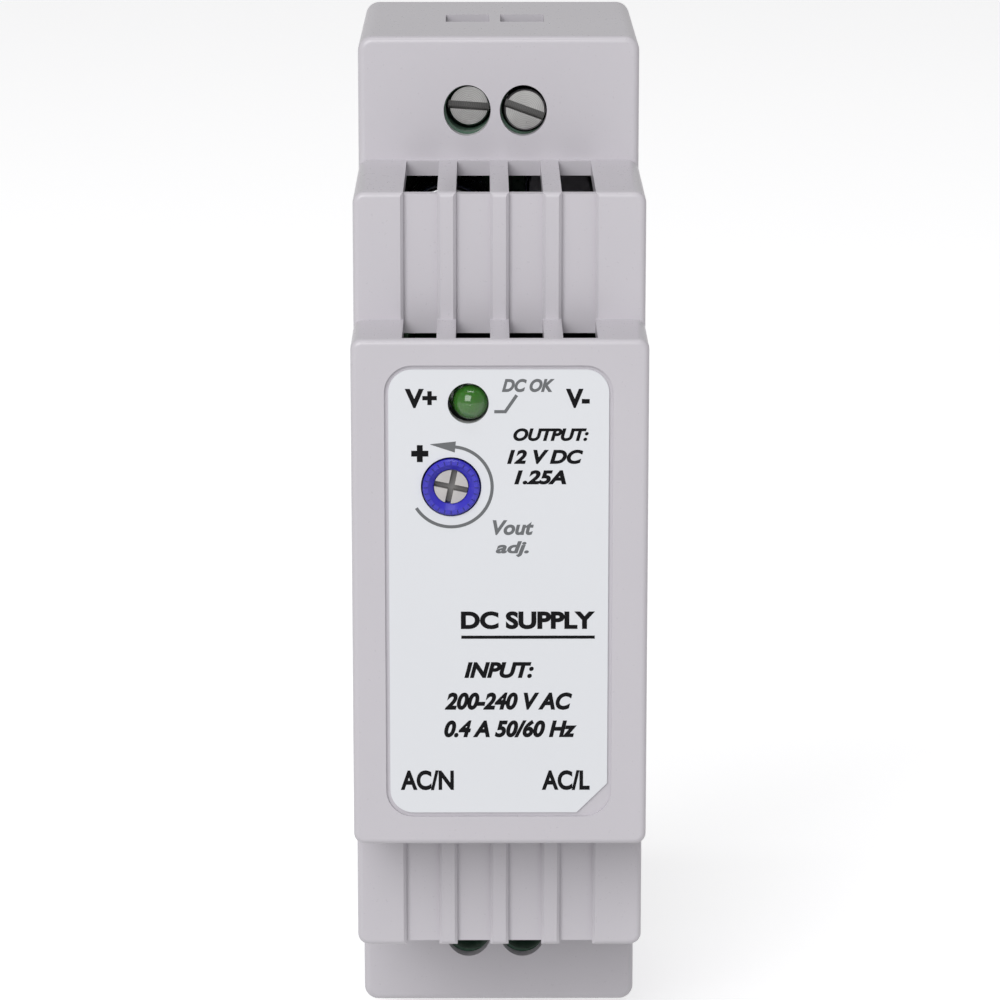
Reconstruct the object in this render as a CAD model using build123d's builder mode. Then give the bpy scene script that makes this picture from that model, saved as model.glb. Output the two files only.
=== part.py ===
from build123d import *
import os
from collections import namedtuple
from math import cos, pi, radians, sin

os.makedirs("parts", exist_ok=True)

# DIN rail power supply, 25 mm wide, three-step front. Millimetres.
# X runs across the width, Z up, and the front faces -Y. The origin is the centre of the face that
# seats on a 35 mm top-hat rail, half way up the case. The rail passes along X, behind Y = 0.

# ---- Case --------------------------------------------------------------------------------------
case_width = 25.0
case_height = 90.0
rear_y = 5.0                 # rear-most edge of cover and base
nose_y = -51.0               # front face of the nose, which carries the label
shoulder_y = -41.8           # front face of the shoulders above and below the nose
terminal_y = -22.9           # front face of the terminal steps at both ends
nose_top_z = 23.0
nose_bottom_z = -21.0
shoulder_top_z = 34.0
shoulder_bottom_z = -33.2
wall = 1.3                   # end walls, step walls and side walls
shoulder_wall = 1.7          # the shoulder face is thicker, because grooves run in it
nose_corner = 0.9            # rounding of the edges that run front to back
shoulder_corner = 1.0
terminal_corner = 1.3
nose_edge = 0.5              # rounding round each front face
shoulder_edge = 0.5
terminal_edge = 0.6

Step = namedtuple("Step", "front_y top_z bottom_z corner edge front_wall")
steps = (
    Step(terminal_y, case_height / 2, -case_height / 2, terminal_corner, terminal_edge, wall),
    Step(shoulder_y, shoulder_top_z, shoulder_bottom_z, shoulder_corner, shoulder_edge, shoulder_wall),
    Step(nose_y, nose_top_z, nose_bottom_z, nose_corner, nose_edge, wall),
)

# ---- Vent stripes ------------------------------------------------------------------------------
vent_count = 4
vent_pitch = 4.5
vent_width = 2.9
groove_depth = 0.7           # groove in the shoulder faces
vent_lip = 1.1               # material left between a shoulder slot and the groove in front of it
nose_vent_lip = 0.75         # material left between a nose slot and the nose's front face
rib_edge = 0.25              # chamfer along the ribs between the grooves
vent_back = 0.9              # material left between a slot and the step behind it
groove_lip_drop = 0.25       # how far a groove's end lip lies inside the shoulder's end face

# ---- Label -------------------------------------------------------------------------------------
label_width = 18.5
label_height = 38.6
label_x = -0.1
label_z = 1.15
label_thickness = 0.2
label_corner = 2.0
label_cut = 2.6              # the lower right corner is cut off
recess_depth = 0.3
recess_margin = 0.35

# ---- Indicator and adjuster --------------------------------------------------------------------
led_x = -2.45
led_z = 17.55
led_diameter = 3.0
led_length = 5.3
led_flange_diameter = 3.8
led_flange_thickness = 1.0
led_proud = 0.5              # how far the dome stands in front of the nose face
led_hole_x = -2.65
led_hole_diameter = 3.45
trimmer_x = -4.1
trimmer_z = 10.4
trimmer_collar_diameter = 4.8
trimmer_hole_diameter = 5.1
trimmer_proud = 0.25
trimmer_block = 6.6
trimmer_block_length = 4.6
rotor_diameter = 2.86
rotor_length = 2.6
rotor_slot_width = 0.5
rotor_slot_depth = 0.7
rotor_sink = 0.35            # rotor face behind the collar's rim
funnel_diameter = 3.9        # mouth of the collar's funnel
turning_gap = 0.05           # radial running clearance of turning pieces

# ---- Rail seat, hook and latch -----------------------------------------------------------------
rail_height = 35.0           # standard 35 mm top-hat rail
rail_flange = 1.0
rail_play = 0.1
hook_grip = 2.2              # how far the hook and the latch reach behind the rail's edges
hook_thickness = 2.4
seat_pad_height = 30.0
seat_pad_rise = 0.2
base_floor = 1.6             # wall behind the main board
base_gap = 0.15              # base to cover, each side
tilt_room = 3.2              # free height below the rail for tilting the case on
hook_wall = 1.6
pocket_rib = 1.3
latch_width = 10.0
latch_flange = 1.3           # width of the guide flange on each side
latch_flange_thickness = 1.4
latch_thickness = 2.9
latch_gap = 0.2              # latch to its guides, all round
latch_tab_length = 3.0       # pull tab below the case
tab_slot_width = 4.2
tab_slot_height = 1.3
spring_diameter = 2.5
spring_wire = 0.32
spring_turns = 9
spring_length = 10.0
spring_window = 3.2          # width of the latch's window
spring_top_z = -24.0
anchor_height = 1.5          # the base's peg under the spring
anchor_width = 2.6
window_slack = 0.4
tab_height = 5.0             # snap tabs that hold the cover on the base
tab_depth = 1.6
tab_z = 31.0
tab_y = 2.6
tab_gap = 0.2

# ---- Terminals ---------------------------------------------------------------------------------
pole_pitch = 5.0
terminal_x = -0.15           # centre of each terminal block
terminal_hole_x = -0.3       # centre of the case's holes for it
terminal_inset = 6.6         # screw axis to the case's end face
access_width = 4.2           # oval screw access hole
access_height = 4.55
wire_port_width = 4.0
wire_port_depth = 5.8
wire_port_y = -8.6           # middle of the wire openings
block_width = 10.4
block_depth = 8.9
block_gap = 0.2              # block to the case's walls
head_diameter = 3.7
head_height = 1.7
head_slot_width = 0.72
head_slot_depth = 0.9
screw_diameter = 2.9
screw_length = 9.4
screw_travel = 5.0           # from level with the face to fully home
counterbore_diameter = 4.2
thread_gap = 0.05
contact_width = 4.1
contact_length = 5.4
contact_wall = 0.5
contact_nut = 1.5            # threaded top wall of the contact frame
contact_floor = 0.7
clamp_width = 2.7
clamp_length = 3.8
clamp_thickness = 0.5
clamp_pin_diameter = 1.5
clamp_pin_head = 0.35
pin_width = 1.0
pin_thickness = 0.7

# ---- Boards ------------------------------------------------------------------------------------
board_y = -4.6               # front surface of the main board
board_thickness = 1.6
board_width = 21.2
board_end_gap = 0.5          # main board to the cover's end walls
board_height = case_height - 2 * (wall + board_end_gap)
lead_tail = 0.5              # leads stand this far out behind the board
lead_gap = 0.1               # radial clearance of lead holes
sheet_thickness = 0.25
sheet_gap = 0.15
sheet_height = 80.0
post_size = 1.8
control_x = -7.8             # component side of the control board
control_thickness = 1.2
control_front_y = -48.3
control_bottom_z = -14.0
control_top_z = 21.2


# ---- Parts on the main board: centre (x, z) on the board, then sizes ---------------------------
part_gap = 0.1               # parts stand this far in front of the board
bulk_x, bulk_z, bulk_diameter, bulk_length = 2.2, -5.0, 16.0, 25.0
smoothing_x, smoothing_z, smoothing_diameter, smoothing_length = -4.6, 27.4, 8.0, 16.0
ripple_x, ripple_z, ripple_diameter, ripple_length = 5.6, 30.2, 6.3, 11.0
sleeve_thickness = 0.12
transformer_x, transformer_z = 1.6, 11.4
core_width, core_length, core_depth = 16.4, 17.0, 5.0
core_leg, core_yoke = 4.5, 2.4
bobbin_wall = 0.7
bobbin_flange_z = 6.6
bobbin_foot = 2.6            # height of the pin rails between board and core
winding_x, winding_z = 5.3, 5.8
tape_thickness = 0.15
heat_sink_x, heat_sink_z = 1.8, 20.4
heat_sink_width, heat_sink_height, heat_sink_thickness = 15.6, 21.0, 1.5
rectifier_x = 4.6
rectifier_width, rectifier_body, rectifier_depth = 10.2, 9.0, 4.4
rectifier_tab, rectifier_tab_thickness = 6.4, 1.3
rectifier_lead_y = -8.6      # where the rectifier's body begins
sink_screw_diameter, sink_screw_head = 2.9, 5.4
filter_x, filter_z = 3.4, -31.2
filter_width, filter_height, filter_depth = 13.0, 11.0, 5.0
choke_x, choke_y, choke_z = 3.4, -12.2, -23.6
choke_inner, choke_outer, choke_thickness = 3.4, 6.2, 5.0
choke_wire = 0.8
bridge_x, bridge_z = -6.5, -20.1
bridge_width, bridge_length, bridge_height = 6.4, 8.5, 3.3
varistor_x, varistor_z, varistor_diameter, varistor_thickness = -7.0, -29.4, 7.0, 3.4
thermistor_x, thermistor_z, thermistor_diameter, thermistor_thickness = -8.1, -39.0, 7.0, 3.4
safety_x, safety_z, safety_diameter, safety_thickness = 8.0, 38.6, 7.6, 3.6
disc_stand = 1.4             # height of a disc part over the board
fuse_x, fuse_z, fuse_width, fuse_length, fuse_height = 8.0, -39.0, 4.2, 8.4, 7.7
drum_x, drum_z, drum_diameter, drum_height = -8.1, 38.8, 4.8, 8.0
drum_flange, drum_waist = 1.0, 2.4
snubber_x = 4.5
resistor_z, resistor_diameter, resistor_length = -14.9, 2.3, 6.6
diode_z, diode_diameter, diode_length = -17.6, 2.6, 5.0
axial_span = 9.6             # distance between an axial part's leads
chip_y, chip_height, chip_depth = -38.0, 3.3, 6.4
controller_z, controller_length, controller_pins = -6.0, 9.4, 4
coupler_z, coupler_length, coupler_pins = 3.2, 4.6, 2
chip_row = 3.81              # pin row from a chip's middle
chip_pitch = 2.54
header_pins, header_pitch, header_width, header_height = 8, 2.54, 1.7, 3.2
header_z = 2.0
wire = 0.6                   # round leads
square_pin = 0.5


def at_y(y):
    """Sketch plane at depth y: local x is X, local y is Z, extrusions go to the front."""
    return Plane.XZ.offset(-y)


def at_x(x):
    """Sketch plane at x: local x is Y, local y is Z, extrusions go to +X."""
    return Plane.YZ.offset(x)


def block_part(size_x, size_y, size_z, centre):
    """Plain block, for pieces that join or cut another piece."""
    with BuildPart() as block:
        with Locations(centre):
            Box(size_x, size_y, size_z)
    return block.part


def along_z(z):
    """Sketch plane at height z, for holes and screws that run along Z."""
    return Plane.XY.offset(z)


def span_block(x_range, y_range, z_range):
    """Plain block between two limits on each axis."""
    size = [high - low for low, high in (x_range, y_range, z_range)]
    centre = tuple((high + low) / 2 for low, high in (x_range, y_range, z_range))
    return block_part(*size, centre)


def write(piece, name):
    """Labels a finished piece and writes it."""
    piece.part.label = name
    export_step(piece.part, f"parts/{name}.step")


# ---- Front cover -------------------------------------------------------------------------------
inner_width = case_width - 2 * wall
seat_wall_y = -seat_pad_rise
screw_z = case_height / 2 - terminal_inset
hook_seat_z = rail_height / 2 + rail_play
base_lower_z = -hook_seat_z - tilt_room
base_width = inner_width - 2 * base_gap
latch_channel = latch_width + 2 * latch_flange + 2 * latch_gap
vent_xs = [(i - (vent_count - 1) / 2) * vent_pitch for i in range(vent_count)]
pole_offsets = (-pole_pitch / 2, pole_pitch / 2)


def step_block(step):
    """One step of the case's outside, solid, from the rear edge to its front face."""
    with BuildPart() as block:
        with BuildSketch(at_y(rear_y)):
            with Locations((0, (step.top_z + step.bottom_z) / 2)):
                RectangleRounded(case_width, step.top_z - step.bottom_z, step.corner)
        extrude(amount=rear_y - step.front_y)
        fillet(block.faces().sort_by(Axis.Y)[0].edges(), step.edge)
    return block.part


def step_cavity(step):
    """The hollow inside one step."""
    return span_block(
        (-inner_width / 2, inner_width / 2),
        (step.front_y + step.front_wall, rear_y + 1),
        (step.bottom_z + wall, step.top_z - wall),
    )


def vent_slots(x, end):
    """The slots and the groove of one vent stripe; end is 1 above the nose and -1 below it."""
    nose_z = nose_top_z if end > 0 else nose_bottom_z
    shoulder_z = shoulder_top_z if end > 0 else shoulder_bottom_z
    half = vent_width / 2
    cuts = [
        (nose_y + nose_vent_lip, shoulder_y + groove_depth, nose_z - end * 2 * wall, nose_z + end),
        (shoulder_y + groove_depth + vent_lip, terminal_y - vent_back,
         shoulder_z - end * 2 * wall, shoulder_z + end),
        (shoulder_y - 1, shoulder_y + groove_depth, nose_z, shoulder_z + end),
        (shoulder_y - 1, shoulder_y + groove_depth + vent_lip + 0.1,
         shoulder_z - end * groove_lip_drop, shoulder_z + end),
    ]
    return [
        span_block((x - half, x + half), (front, back), tuple(sorted((z_in, z_out))))
        for front, back, z_in, z_out in cuts
    ]


def groove_flare(x, end):
    """What a groove's widened mouth takes off the ribs beside it."""
    nose_z = nose_top_z if end > 0 else nose_bottom_z
    shoulder_z = shoulder_top_z if end > 0 else shoulder_bottom_z
    low, high = sorted((nose_z, shoulder_z + end))
    half = vent_width / 2
    with BuildPart() as flare:
        with BuildSketch(along_z(low)):
            with BuildLine():
                Polyline((x - half - rib_edge, shoulder_y), (x - half, shoulder_y + rib_edge),
                         (x + half, shoulder_y + rib_edge), (x + half + rib_edge, shoulder_y),
                         (x + half + rib_edge, shoulder_y - 1), (x - half - rib_edge, shoulder_y - 1),
                         close=True)
            make_face()
        extrude(amount=high - low)
    return flare.part


step_blocks = [step_block(step) for step in steps]
step_cavities = [step_cavity(step) for step in steps]
vent_cuts = [cut for x in vent_xs for end in (1, -1) for cut in vent_slots(x, end)]
vent_cuts += [groove_flare(x, end) for x in vent_xs for end in (1, -1)]

with BuildPart() as front_cover:
    for block in step_blocks:
        add(block)
    for cavity in step_cavities:
        add(cavity, mode=Mode.SUBTRACT)
    for cut in vent_cuts:
        add(cut, mode=Mode.SUBTRACT)
    # recess for the label
    with BuildSketch(at_y(nose_y)):
        with Locations((label_x, label_z)):
            RectangleRounded(label_width + 2 * recess_margin, label_height + 2 * recess_margin,
                             label_corner + recess_margin)
    extrude(amount=-recess_depth, mode=Mode.SUBTRACT)
    # indicator and adjuster holes
    with BuildSketch(at_y(nose_y)):
        with Locations((led_hole_x, led_z)):
            Circle(led_hole_diameter / 2)
        with Locations((trimmer_x, trimmer_z)):
            Circle(trimmer_hole_diameter / 2)
    extrude(amount=-2 * wall, mode=Mode.SUBTRACT)
    # screw access holes
    with BuildSketch(at_y(terminal_y)):
        for end in (1, -1):
            with Locations(*[(terminal_hole_x + dx, end * screw_z) for dx in pole_offsets]):
                Ellipse(access_width / 2, access_height / 2)
    extrude(amount=-2 * wall, mode=Mode.SUBTRACT)
    # wire openings in both end walls
    with BuildSketch(Plane.XY.offset(-case_height)):
        with Locations(*[(terminal_hole_x + dx, wire_port_y) for dx in pole_offsets]):
            Rectangle(wire_port_width, wire_port_depth)
    wire_ports = extrude(amount=2 * case_height, mode=Mode.PRIVATE)
    end_walls = [
        span_block((-case_width, case_width), (-20, rear_y), (low, high))
        for low, high in (
            (case_height / 2 - 2 * wall, case_height),
            (-case_height, -case_height / 2 + 2 * wall),
        )
    ]
    for end_wall in end_walls:
        add(wire_ports & end_wall, mode=Mode.SUBTRACT)
    # room for the rail through both side walls
    add(span_block((-case_width, case_width), (seat_wall_y, rear_y + 1), (base_lower_z, hook_seat_z)),
        mode=Mode.SUBTRACT)
    # way out for the latch
    add(span_block((-latch_channel / 2, latch_channel / 2), (seat_wall_y, rear_y + 1),
                   (-case_height, -case_height / 2 + 2 * wall)), mode=Mode.SUBTRACT)
    # windows for the base's snap tabs
    for end in (1, -1):
        with Locations((0, tab_y, end * tab_z)):
            Box(2 * case_width, tab_depth + 2 * tab_gap, tab_height + 2 * tab_gap, mode=Mode.SUBTRACT)
write(front_cover, "front_cover")

# ---- Rating label ------------------------------------------------------------------------------
recess_y = nose_y + recess_depth
with BuildPart() as rating_label:
    with BuildSketch(at_y(recess_y)):
        with Locations((label_x, label_z)):
            RectangleRounded(label_width, label_height, label_corner)
        corner = (label_x + label_width / 2, label_z - label_height / 2)
        with BuildLine():
            Polyline(corner, (corner[0] - label_cut, corner[1]), (corner[0], corner[1] + label_cut),
                     close=True)
        make_face(mode=Mode.SUBTRACT)
        with Locations((led_hole_x, led_z)):
            Circle(led_hole_diameter / 2, mode=Mode.SUBTRACT)
        with Locations((trimmer_x, trimmer_z)):
            Circle(trimmer_hole_diameter / 2, mode=Mode.SUBTRACT)
    extrude(amount=label_thickness)
write(rating_label, "rating_label")

# ---- Rear base ---------------------------------------------------------------------------------
base_top_z = case_height / 2 - wall - base_gap
floor_front_y = seat_wall_y - base_floor
lip_y = rail_flange + 0.25
window_bottom_z = spring_top_z - spring_length - anchor_height - window_slack
anchor_z = spring_top_z - spring_length - anchor_height / 2
spring_y = (latch_gap + latch_thickness) / 2
pocket_y = seat_wall_y + 0.6
half_base = base_width / 2
half_channel = latch_channel / 2
channel_cuts = [
    span_block((-latch_width / 2 - latch_gap, latch_width / 2 + latch_gap), (seat_wall_y, rear_y + 1),
               (-case_height, base_lower_z + 1)),
    span_block((-half_channel, half_channel), (seat_wall_y, latch_gap * 2 + latch_flange_thickness),
               (-case_height, base_lower_z + 1)),
]
upper_pockets = [(-half_base + pocket_rib, -pocket_rib / 2), (pocket_rib / 2, half_base - pocket_rib)]
lower_pockets = [(-half_base + pocket_rib, -half_channel - pocket_rib),
                 (half_channel + pocket_rib, half_base - pocket_rib)]
post_x = board_width / 2 - post_size / 2 - 0.4
post_z = board_height / 2 - post_size / 2

with BuildPart() as rear_base:
    # floor behind the main board
    add(span_block((-half_base, half_base), (floor_front_y, seat_wall_y), (-base_top_z, base_top_z)))
    # seat pad: its rear face is the plane Y = 0
    with BuildSketch(at_y(seat_wall_y)):
        RectangleRounded(base_width, seat_pad_height, 1.0)
    extrude(amount=-seat_pad_rise)
    # deep ends above and below the rail
    add(span_block((-half_base, half_base), (floor_front_y, rear_y), (hook_seat_z, base_top_z)))
    add(span_block((-half_base, half_base), (floor_front_y, rear_y), (-base_top_z, base_lower_z)))
    # fixed hook behind the rail's upper edge
    with BuildSketch(at_x(-half_base)):
        with BuildLine():
            Polyline(
                (lip_y, hook_seat_z + 0.1), (lip_y, rail_height / 2 - hook_grip),
                (lip_y + 0.8, rail_height / 2 - hook_grip), (lip_y + hook_thickness, rail_height / 2 - 0.6),
                (lip_y + hook_thickness, hook_seat_z + 0.1), close=True,
            )
        make_face()
    extrude(amount=base_width)
    for low, high in upper_pockets:
        add(span_block((low, high), (pocket_y, rear_y + 1),
                       (hook_seat_z + hook_wall, base_top_z - pocket_rib)), mode=Mode.SUBTRACT)
    for low, high in lower_pockets:
        add(span_block((low, high), (pocket_y, rear_y + 1),
                       (-base_top_z + pocket_rib, base_lower_z - pocket_rib)), mode=Mode.SUBTRACT)
    for cut in channel_cuts:
        add(cut, mode=Mode.SUBTRACT)
    # peg under the latch's spring
    add(span_block((-anchor_width / 2, anchor_width / 2), (seat_wall_y - 0.1, latch_gap + latch_thickness),
                   (anchor_z - anchor_height / 2, anchor_z + anchor_height / 2)))
    # snap tabs for the cover's windows
    for end in (1, -1):
        for side in (1, -1):
            with BuildSketch(Plane.XY.offset(end * tab_z - tab_height / 2)):
                with BuildLine():
                    Polyline(
                        (side * (half_base - 0.2), tab_y - tab_depth / 2),
                        (side * (half_base + 0.9), tab_y - tab_depth / 2 + 1.0),
                        (side * (half_base + 0.9), tab_y + tab_depth / 2),
                        (side * (half_base - 0.2), tab_y + tab_depth / 2), close=True,
                    )
                make_face()
            extrude(amount=tab_height)
    # corner posts that carry the main board
    for sign_x in (1, -1):
        for sign_z in (1, -1):
            add(span_block(
                tuple(sorted((sign_x * (post_x - post_size / 2), sign_x * (post_x + post_size / 2)))),
                (board_y + board_thickness, floor_front_y + 0.1),
                tuple(sorted((sign_z * (post_z - post_size / 2), sign_z * (post_z + post_size / 2))))))
write(rear_base, "rear_base")

# ---- Rail latch and its spring -----------------------------------------------------------------
latch_rear_y = latch_gap + latch_thickness
latch_bottom_z = -case_height / 2 - latch_tab_length
latch_shoulder_z = -hook_seat_z - 0.1
nose_front_y = rail_flange + 0.25
with BuildPart() as rail_latch:
    add(span_block((-latch_width / 2, latch_width / 2), (latch_gap, latch_rear_y),
                   (latch_bottom_z, latch_shoulder_z)))
    # guide flanges
    add(span_block((-latch_width / 2 - latch_flange, latch_width / 2 + latch_flange),
                   (latch_gap, latch_gap + latch_flange_thickness),
                   (-case_height / 2 + 1.5, base_lower_z - 0.5)))
    # nose that grips behind the rail's lower edge, with a ramp for snapping on
    with BuildSketch(at_x(-latch_width / 2)):
        with BuildLine():
            Polyline(
                (nose_front_y, latch_shoulder_z - 0.1), (nose_front_y, -rail_height / 2 + hook_grip),
                (nose_front_y + 0.4, -rail_height / 2 + hook_grip), (latch_rear_y, latch_shoulder_z + 0.7),
                (latch_rear_y, latch_shoulder_z - 0.1), close=True,
            )
        make_face()
    extrude(amount=latch_width)
    # window for the spring
    add(span_block((-spring_window / 2, spring_window / 2), (-1, rear_y),
                   (window_bottom_z, spring_top_z)), mode=Mode.SUBTRACT)
    # screwdriver slot in the pull tab
    with BuildSketch(at_y(rear_y)):
        with Locations((0, latch_bottom_z + 1.9)):
            RectangleRounded(tab_slot_width, tab_slot_height, 0.4)
    extrude(amount=rear_y + 1, mode=Mode.SUBTRACT)
    tab_edges = rail_latch.edges().filter_by(Axis.Y).group_by(Axis.Z)[0]
    fillet(tab_edges, 1.2)
write(rail_latch, "rail_latch")

spring_radius = (spring_diameter - spring_wire) / 2
coil_length = spring_length - spring_wire - 0.1
coil_bottom_z = spring_top_z - spring_length + 0.05 + spring_wire / 2
with BuildPart() as latch_spring:
    with BuildLine(Plane((0, spring_y, coil_bottom_z))) as coil:
        Helix(coil_length / spring_turns, coil_length, spring_radius)
    with BuildSketch(Plane(origin=coil.line @ 0, z_dir=coil.line % 0)):
        Circle(spring_wire / 2)
    sweep(is_frenet=True)
write(latch_spring, "latch_spring")

# ---- Terminals ---------------------------------------------------------------------------------
# Each pole: a screw threads through the contact frame's front wall and carries a clamp plate on its
# tip. Tightening drives screw and plate towards the rear, onto the wire. inset is how far a screw's
# head stands behind the case's terminal face.
block_front_y = terminal_y + wall + block_gap
block_end_z = case_height / 2 - wall - block_gap
contact_rear_y = wire_port_y + wire_port_depth / 2 + contact_floor
chamber_front_y = wire_port_y - wire_port_depth / 2 - 0.3
contact_front_y = chamber_front_y - contact_nut
open_head_y = terminal_y
closed_head_y = open_head_y + screw_travel
Pole = namedtuple("Pole", "name end side inset")
poles = (
    Pole("output_negative", 1, 1, 0.6),
    Pole("output_positive", 1, -1, 3.4),
    Pole("input_neutral", -1, -1, 3.4),
    Pole("input_line", -1, 1, 3.1),
)


def pole_x(pole):
    """Screw axis of a pole across the width."""
    return terminal_x + pole.side * pole_pitch / 2


def terminal_block(end):
    """Moulded body of a two-pole terminal block."""
    low_z = block_end_z - block_depth
    with BuildPart() as body:
        add(span_block((terminal_x - block_width / 2, terminal_x + block_width / 2),
                       (block_front_y, board_y), (low_z, block_end_z)))
        fillet(body.faces().sort_by(Axis.Y)[0].edges(), 0.3)
        for dx in pole_offsets:
            x = terminal_x + dx
            half = contact_width / 2 + lead_gap / 2
            # room for the contact frame, open towards the wire opening
            add(span_block((x - half, x + half), (contact_front_y - 0.1, contact_rear_y + 0.05),
                           (screw_z - contact_length / 2 - 0.1, screw_z + contact_length / 2 + 0.1)),
                mode=Mode.SUBTRACT)
            add(span_block((x - wire_port_width / 2, x + wire_port_width / 2),
                           (wire_port_y - wire_port_depth / 2, wire_port_y + wire_port_depth / 2),
                           (screw_z, block_end_z + 1)), mode=Mode.SUBTRACT)
            # bore for the screw's head and hole for its shank
            with BuildSketch(at_y(block_front_y)):
                with Locations((x, screw_z)):
                    Circle(counterbore_diameter / 2)
            extrude(amount=block_front_y - (closed_head_y + head_height + 0.15), mode=Mode.SUBTRACT)
            with BuildSketch(at_y(block_front_y)):
                with Locations((x, screw_z)):
                    Circle(screw_diameter / 2 + 0.2)
            extrude(amount=block_front_y - contact_front_y, mode=Mode.SUBTRACT)
            # way out for the solder pin
            add(span_block((x - pin_width / 2 - lead_gap, x + pin_width / 2 + lead_gap), (contact_rear_y, 0),
                           (screw_z - pin_thickness / 2 - lead_gap, screw_z + pin_thickness / 2 + lead_gap)),
                mode=Mode.SUBTRACT)
    return body.part if end > 0 else mirror(body.part, about=Plane.XY)


def contact_frame(pole):
    """Metal frame round the wire chamber, threaded in front, with a solder pin behind."""
    x, z = pole_x(pole), pole.end * screw_z
    with BuildPart() as frame:
        add(span_block((x - contact_width / 2, x + contact_width / 2), (contact_front_y, contact_rear_y),
                       (z - contact_length / 2, z + contact_length / 2)))
        add(span_block((x - contact_width / 2 + contact_wall, x + contact_width / 2 - contact_wall),
                       (chamber_front_y, contact_rear_y - contact_floor), (z - 9, z + 9)), mode=Mode.SUBTRACT)
        with BuildSketch(at_y(chamber_front_y + 0.5)):
            with Locations((x, z)):
                Circle(screw_diameter / 2 + thread_gap)
        extrude(amount=contact_nut + 1, mode=Mode.SUBTRACT)
        add(span_block((x - pin_width / 2, x + pin_width / 2),
                       (contact_rear_y - 0.1, board_y + board_thickness + lead_tail),
                       (z - pin_thickness / 2, z + pin_thickness / 2)))
    return frame


def terminal_screw(pole):
    """Slotted clamp screw with a pin on its tip that carries the clamp plate."""
    head_y = open_head_y + pole.inset
    with BuildPart() as screw:
        with BuildSketch(at_y(head_y + head_height)):
            with Locations((pole_x(pole), pole.end * screw_z)):
                Circle(head_diameter / 2)
        extrude(amount=head_height)
        chamfer(screw.edges().filter_by(GeomType.CIRCLE).group_by(Axis.Y)[0], 0.15)
        with BuildSketch(at_y(head_y + head_height + screw_length)):
            with Locations((pole_x(pole), pole.end * screw_z)):
                Circle(screw_diameter / 2)
        extrude(amount=screw_length + 0.1)
        pin_length = clamp_thickness + 2 * thread_gap
        tip_y = head_y + head_height + screw_length
        with BuildSketch(at_y(tip_y + pin_length)):
            with Locations((pole_x(pole), pole.end * screw_z)):
                Circle(clamp_pin_diameter / 2)
        extrude(amount=pin_length + 0.1)
        with BuildSketch(at_y(tip_y + pin_length + clamp_pin_head)):
            with Locations((pole_x(pole), pole.end * screw_z)):
                Circle(clamp_pin_diameter / 2 + 0.25)
        extrude(amount=clamp_pin_head)
        with Locations((pole_x(pole), head_y + head_slot_depth / 2 - 0.5, pole.end * screw_z)):
            Box(2 * head_diameter, head_slot_depth + 1, head_slot_width, mode=Mode.SUBTRACT,
                rotation=(0, slot_angles[pole.name], 0))
    return screw


def clamp_plate(pole):
    """Plate that the screw presses on the wire; it cannot turn in its contact frame."""
    plate_y = open_head_y + pole.inset + head_height + screw_length + thread_gap + clamp_thickness / 2
    with BuildPart() as plate:
        with Locations((pole_x(pole), plate_y, pole.end * screw_z)):
            Box(clamp_width, clamp_thickness, clamp_length)
            with Locations(Rot(90, 0, 0)):
                Hole(clamp_pin_diameter / 2 + thread_gap)
    return plate


slot_angles = {"output_positive": 4, "output_negative": 20, "input_neutral": -12, "input_line": 35}

with BuildPart() as output_terminal_block:
    add(terminal_block(1))
write(output_terminal_block, "output_terminal_block")
with BuildPart() as input_terminal_block:
    add(terminal_block(-1))
write(input_terminal_block, "input_terminal_block")
for pole in poles:
    write(contact_frame(pole), f"{pole.name}_contact")
    write(terminal_screw(pole), f"{pole.name}_screw")
    write(clamp_plate(pole), f"{pole.name}_clamp")

# ---- Leads and boards --------------------------------------------------------------------------
tail_y = board_y + board_thickness + lead_tail
part_y = board_y - part_gap
control_back_x = control_x - control_thickness
board_leads = []             # (x, z, radius) of every lead through the main board
control_leads = []           # (y, z) of every pin through the control board


def lead(x, z, from_y, diameter=wire):
    """Round lead from from_y to its tail behind the main board."""
    board_leads.append((x, z, diameter / 2))
    with BuildPart() as rod:
        with BuildSketch(at_y(tail_y)):
            with Locations((x, z)):
                Circle(diameter / 2)
        extrude(amount=tail_y - from_y)
    return rod.part


def control_pin(y, z, from_x):
    """Square pin from from_x through the control board."""
    control_leads.append((y, z))
    half = square_pin / 2
    return span_block((control_back_x - lead_tail, from_x), (y - half, y + half), (z - half, z + half))


def capacitor_can(x, z, diameter, length):
    """Aluminium can with its rubber bung and leads, without the sleeve."""
    with BuildPart() as can:
        with BuildSketch(at_y(part_y)):
            with Locations((x, z)):
                Circle(diameter / 2 - sleeve_thickness)
        extrude(amount=length)
        fillet(can.edges().filter_by(GeomType.CIRCLE).group_by(Axis.Y)[0], 0.4)
        # scored vent cross in the front end
        for angle in (0, 90):
            with Locations((x, part_y - length, z)):
                Box(diameter * 0.6, 0.2, 0.25, rotation=(0, angle, 0), mode=Mode.SUBTRACT)
        for side in (1, -1):
            add(lead(x, z + side * diameter / 4, part_y - 0.5))
    return can


def capacitor_sleeve(x, z, diameter, length):
    """Printed shrink sleeve round a can."""
    with BuildPart() as sleeve:
        with BuildSketch(at_y(part_y)):
            with Locations((x, z)):
                Circle(diameter / 2)
                Circle(diameter / 2 - sleeve_thickness, mode=Mode.SUBTRACT)
        extrude(amount=length - 0.5)
    return sleeve


cans = {
    "bulk_capacitor": (bulk_x, bulk_z, bulk_diameter, bulk_length),
    "smoothing_capacitor": (smoothing_x, smoothing_z, smoothing_diameter, smoothing_length),
    "ripple_capacitor": (ripple_x, ripple_z, ripple_diameter, ripple_length),
}
for name, sizes in cans.items():
    write(capacitor_can(*sizes), name)
    write(capacitor_sleeve(*sizes), f"{name}_sleeve")

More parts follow.
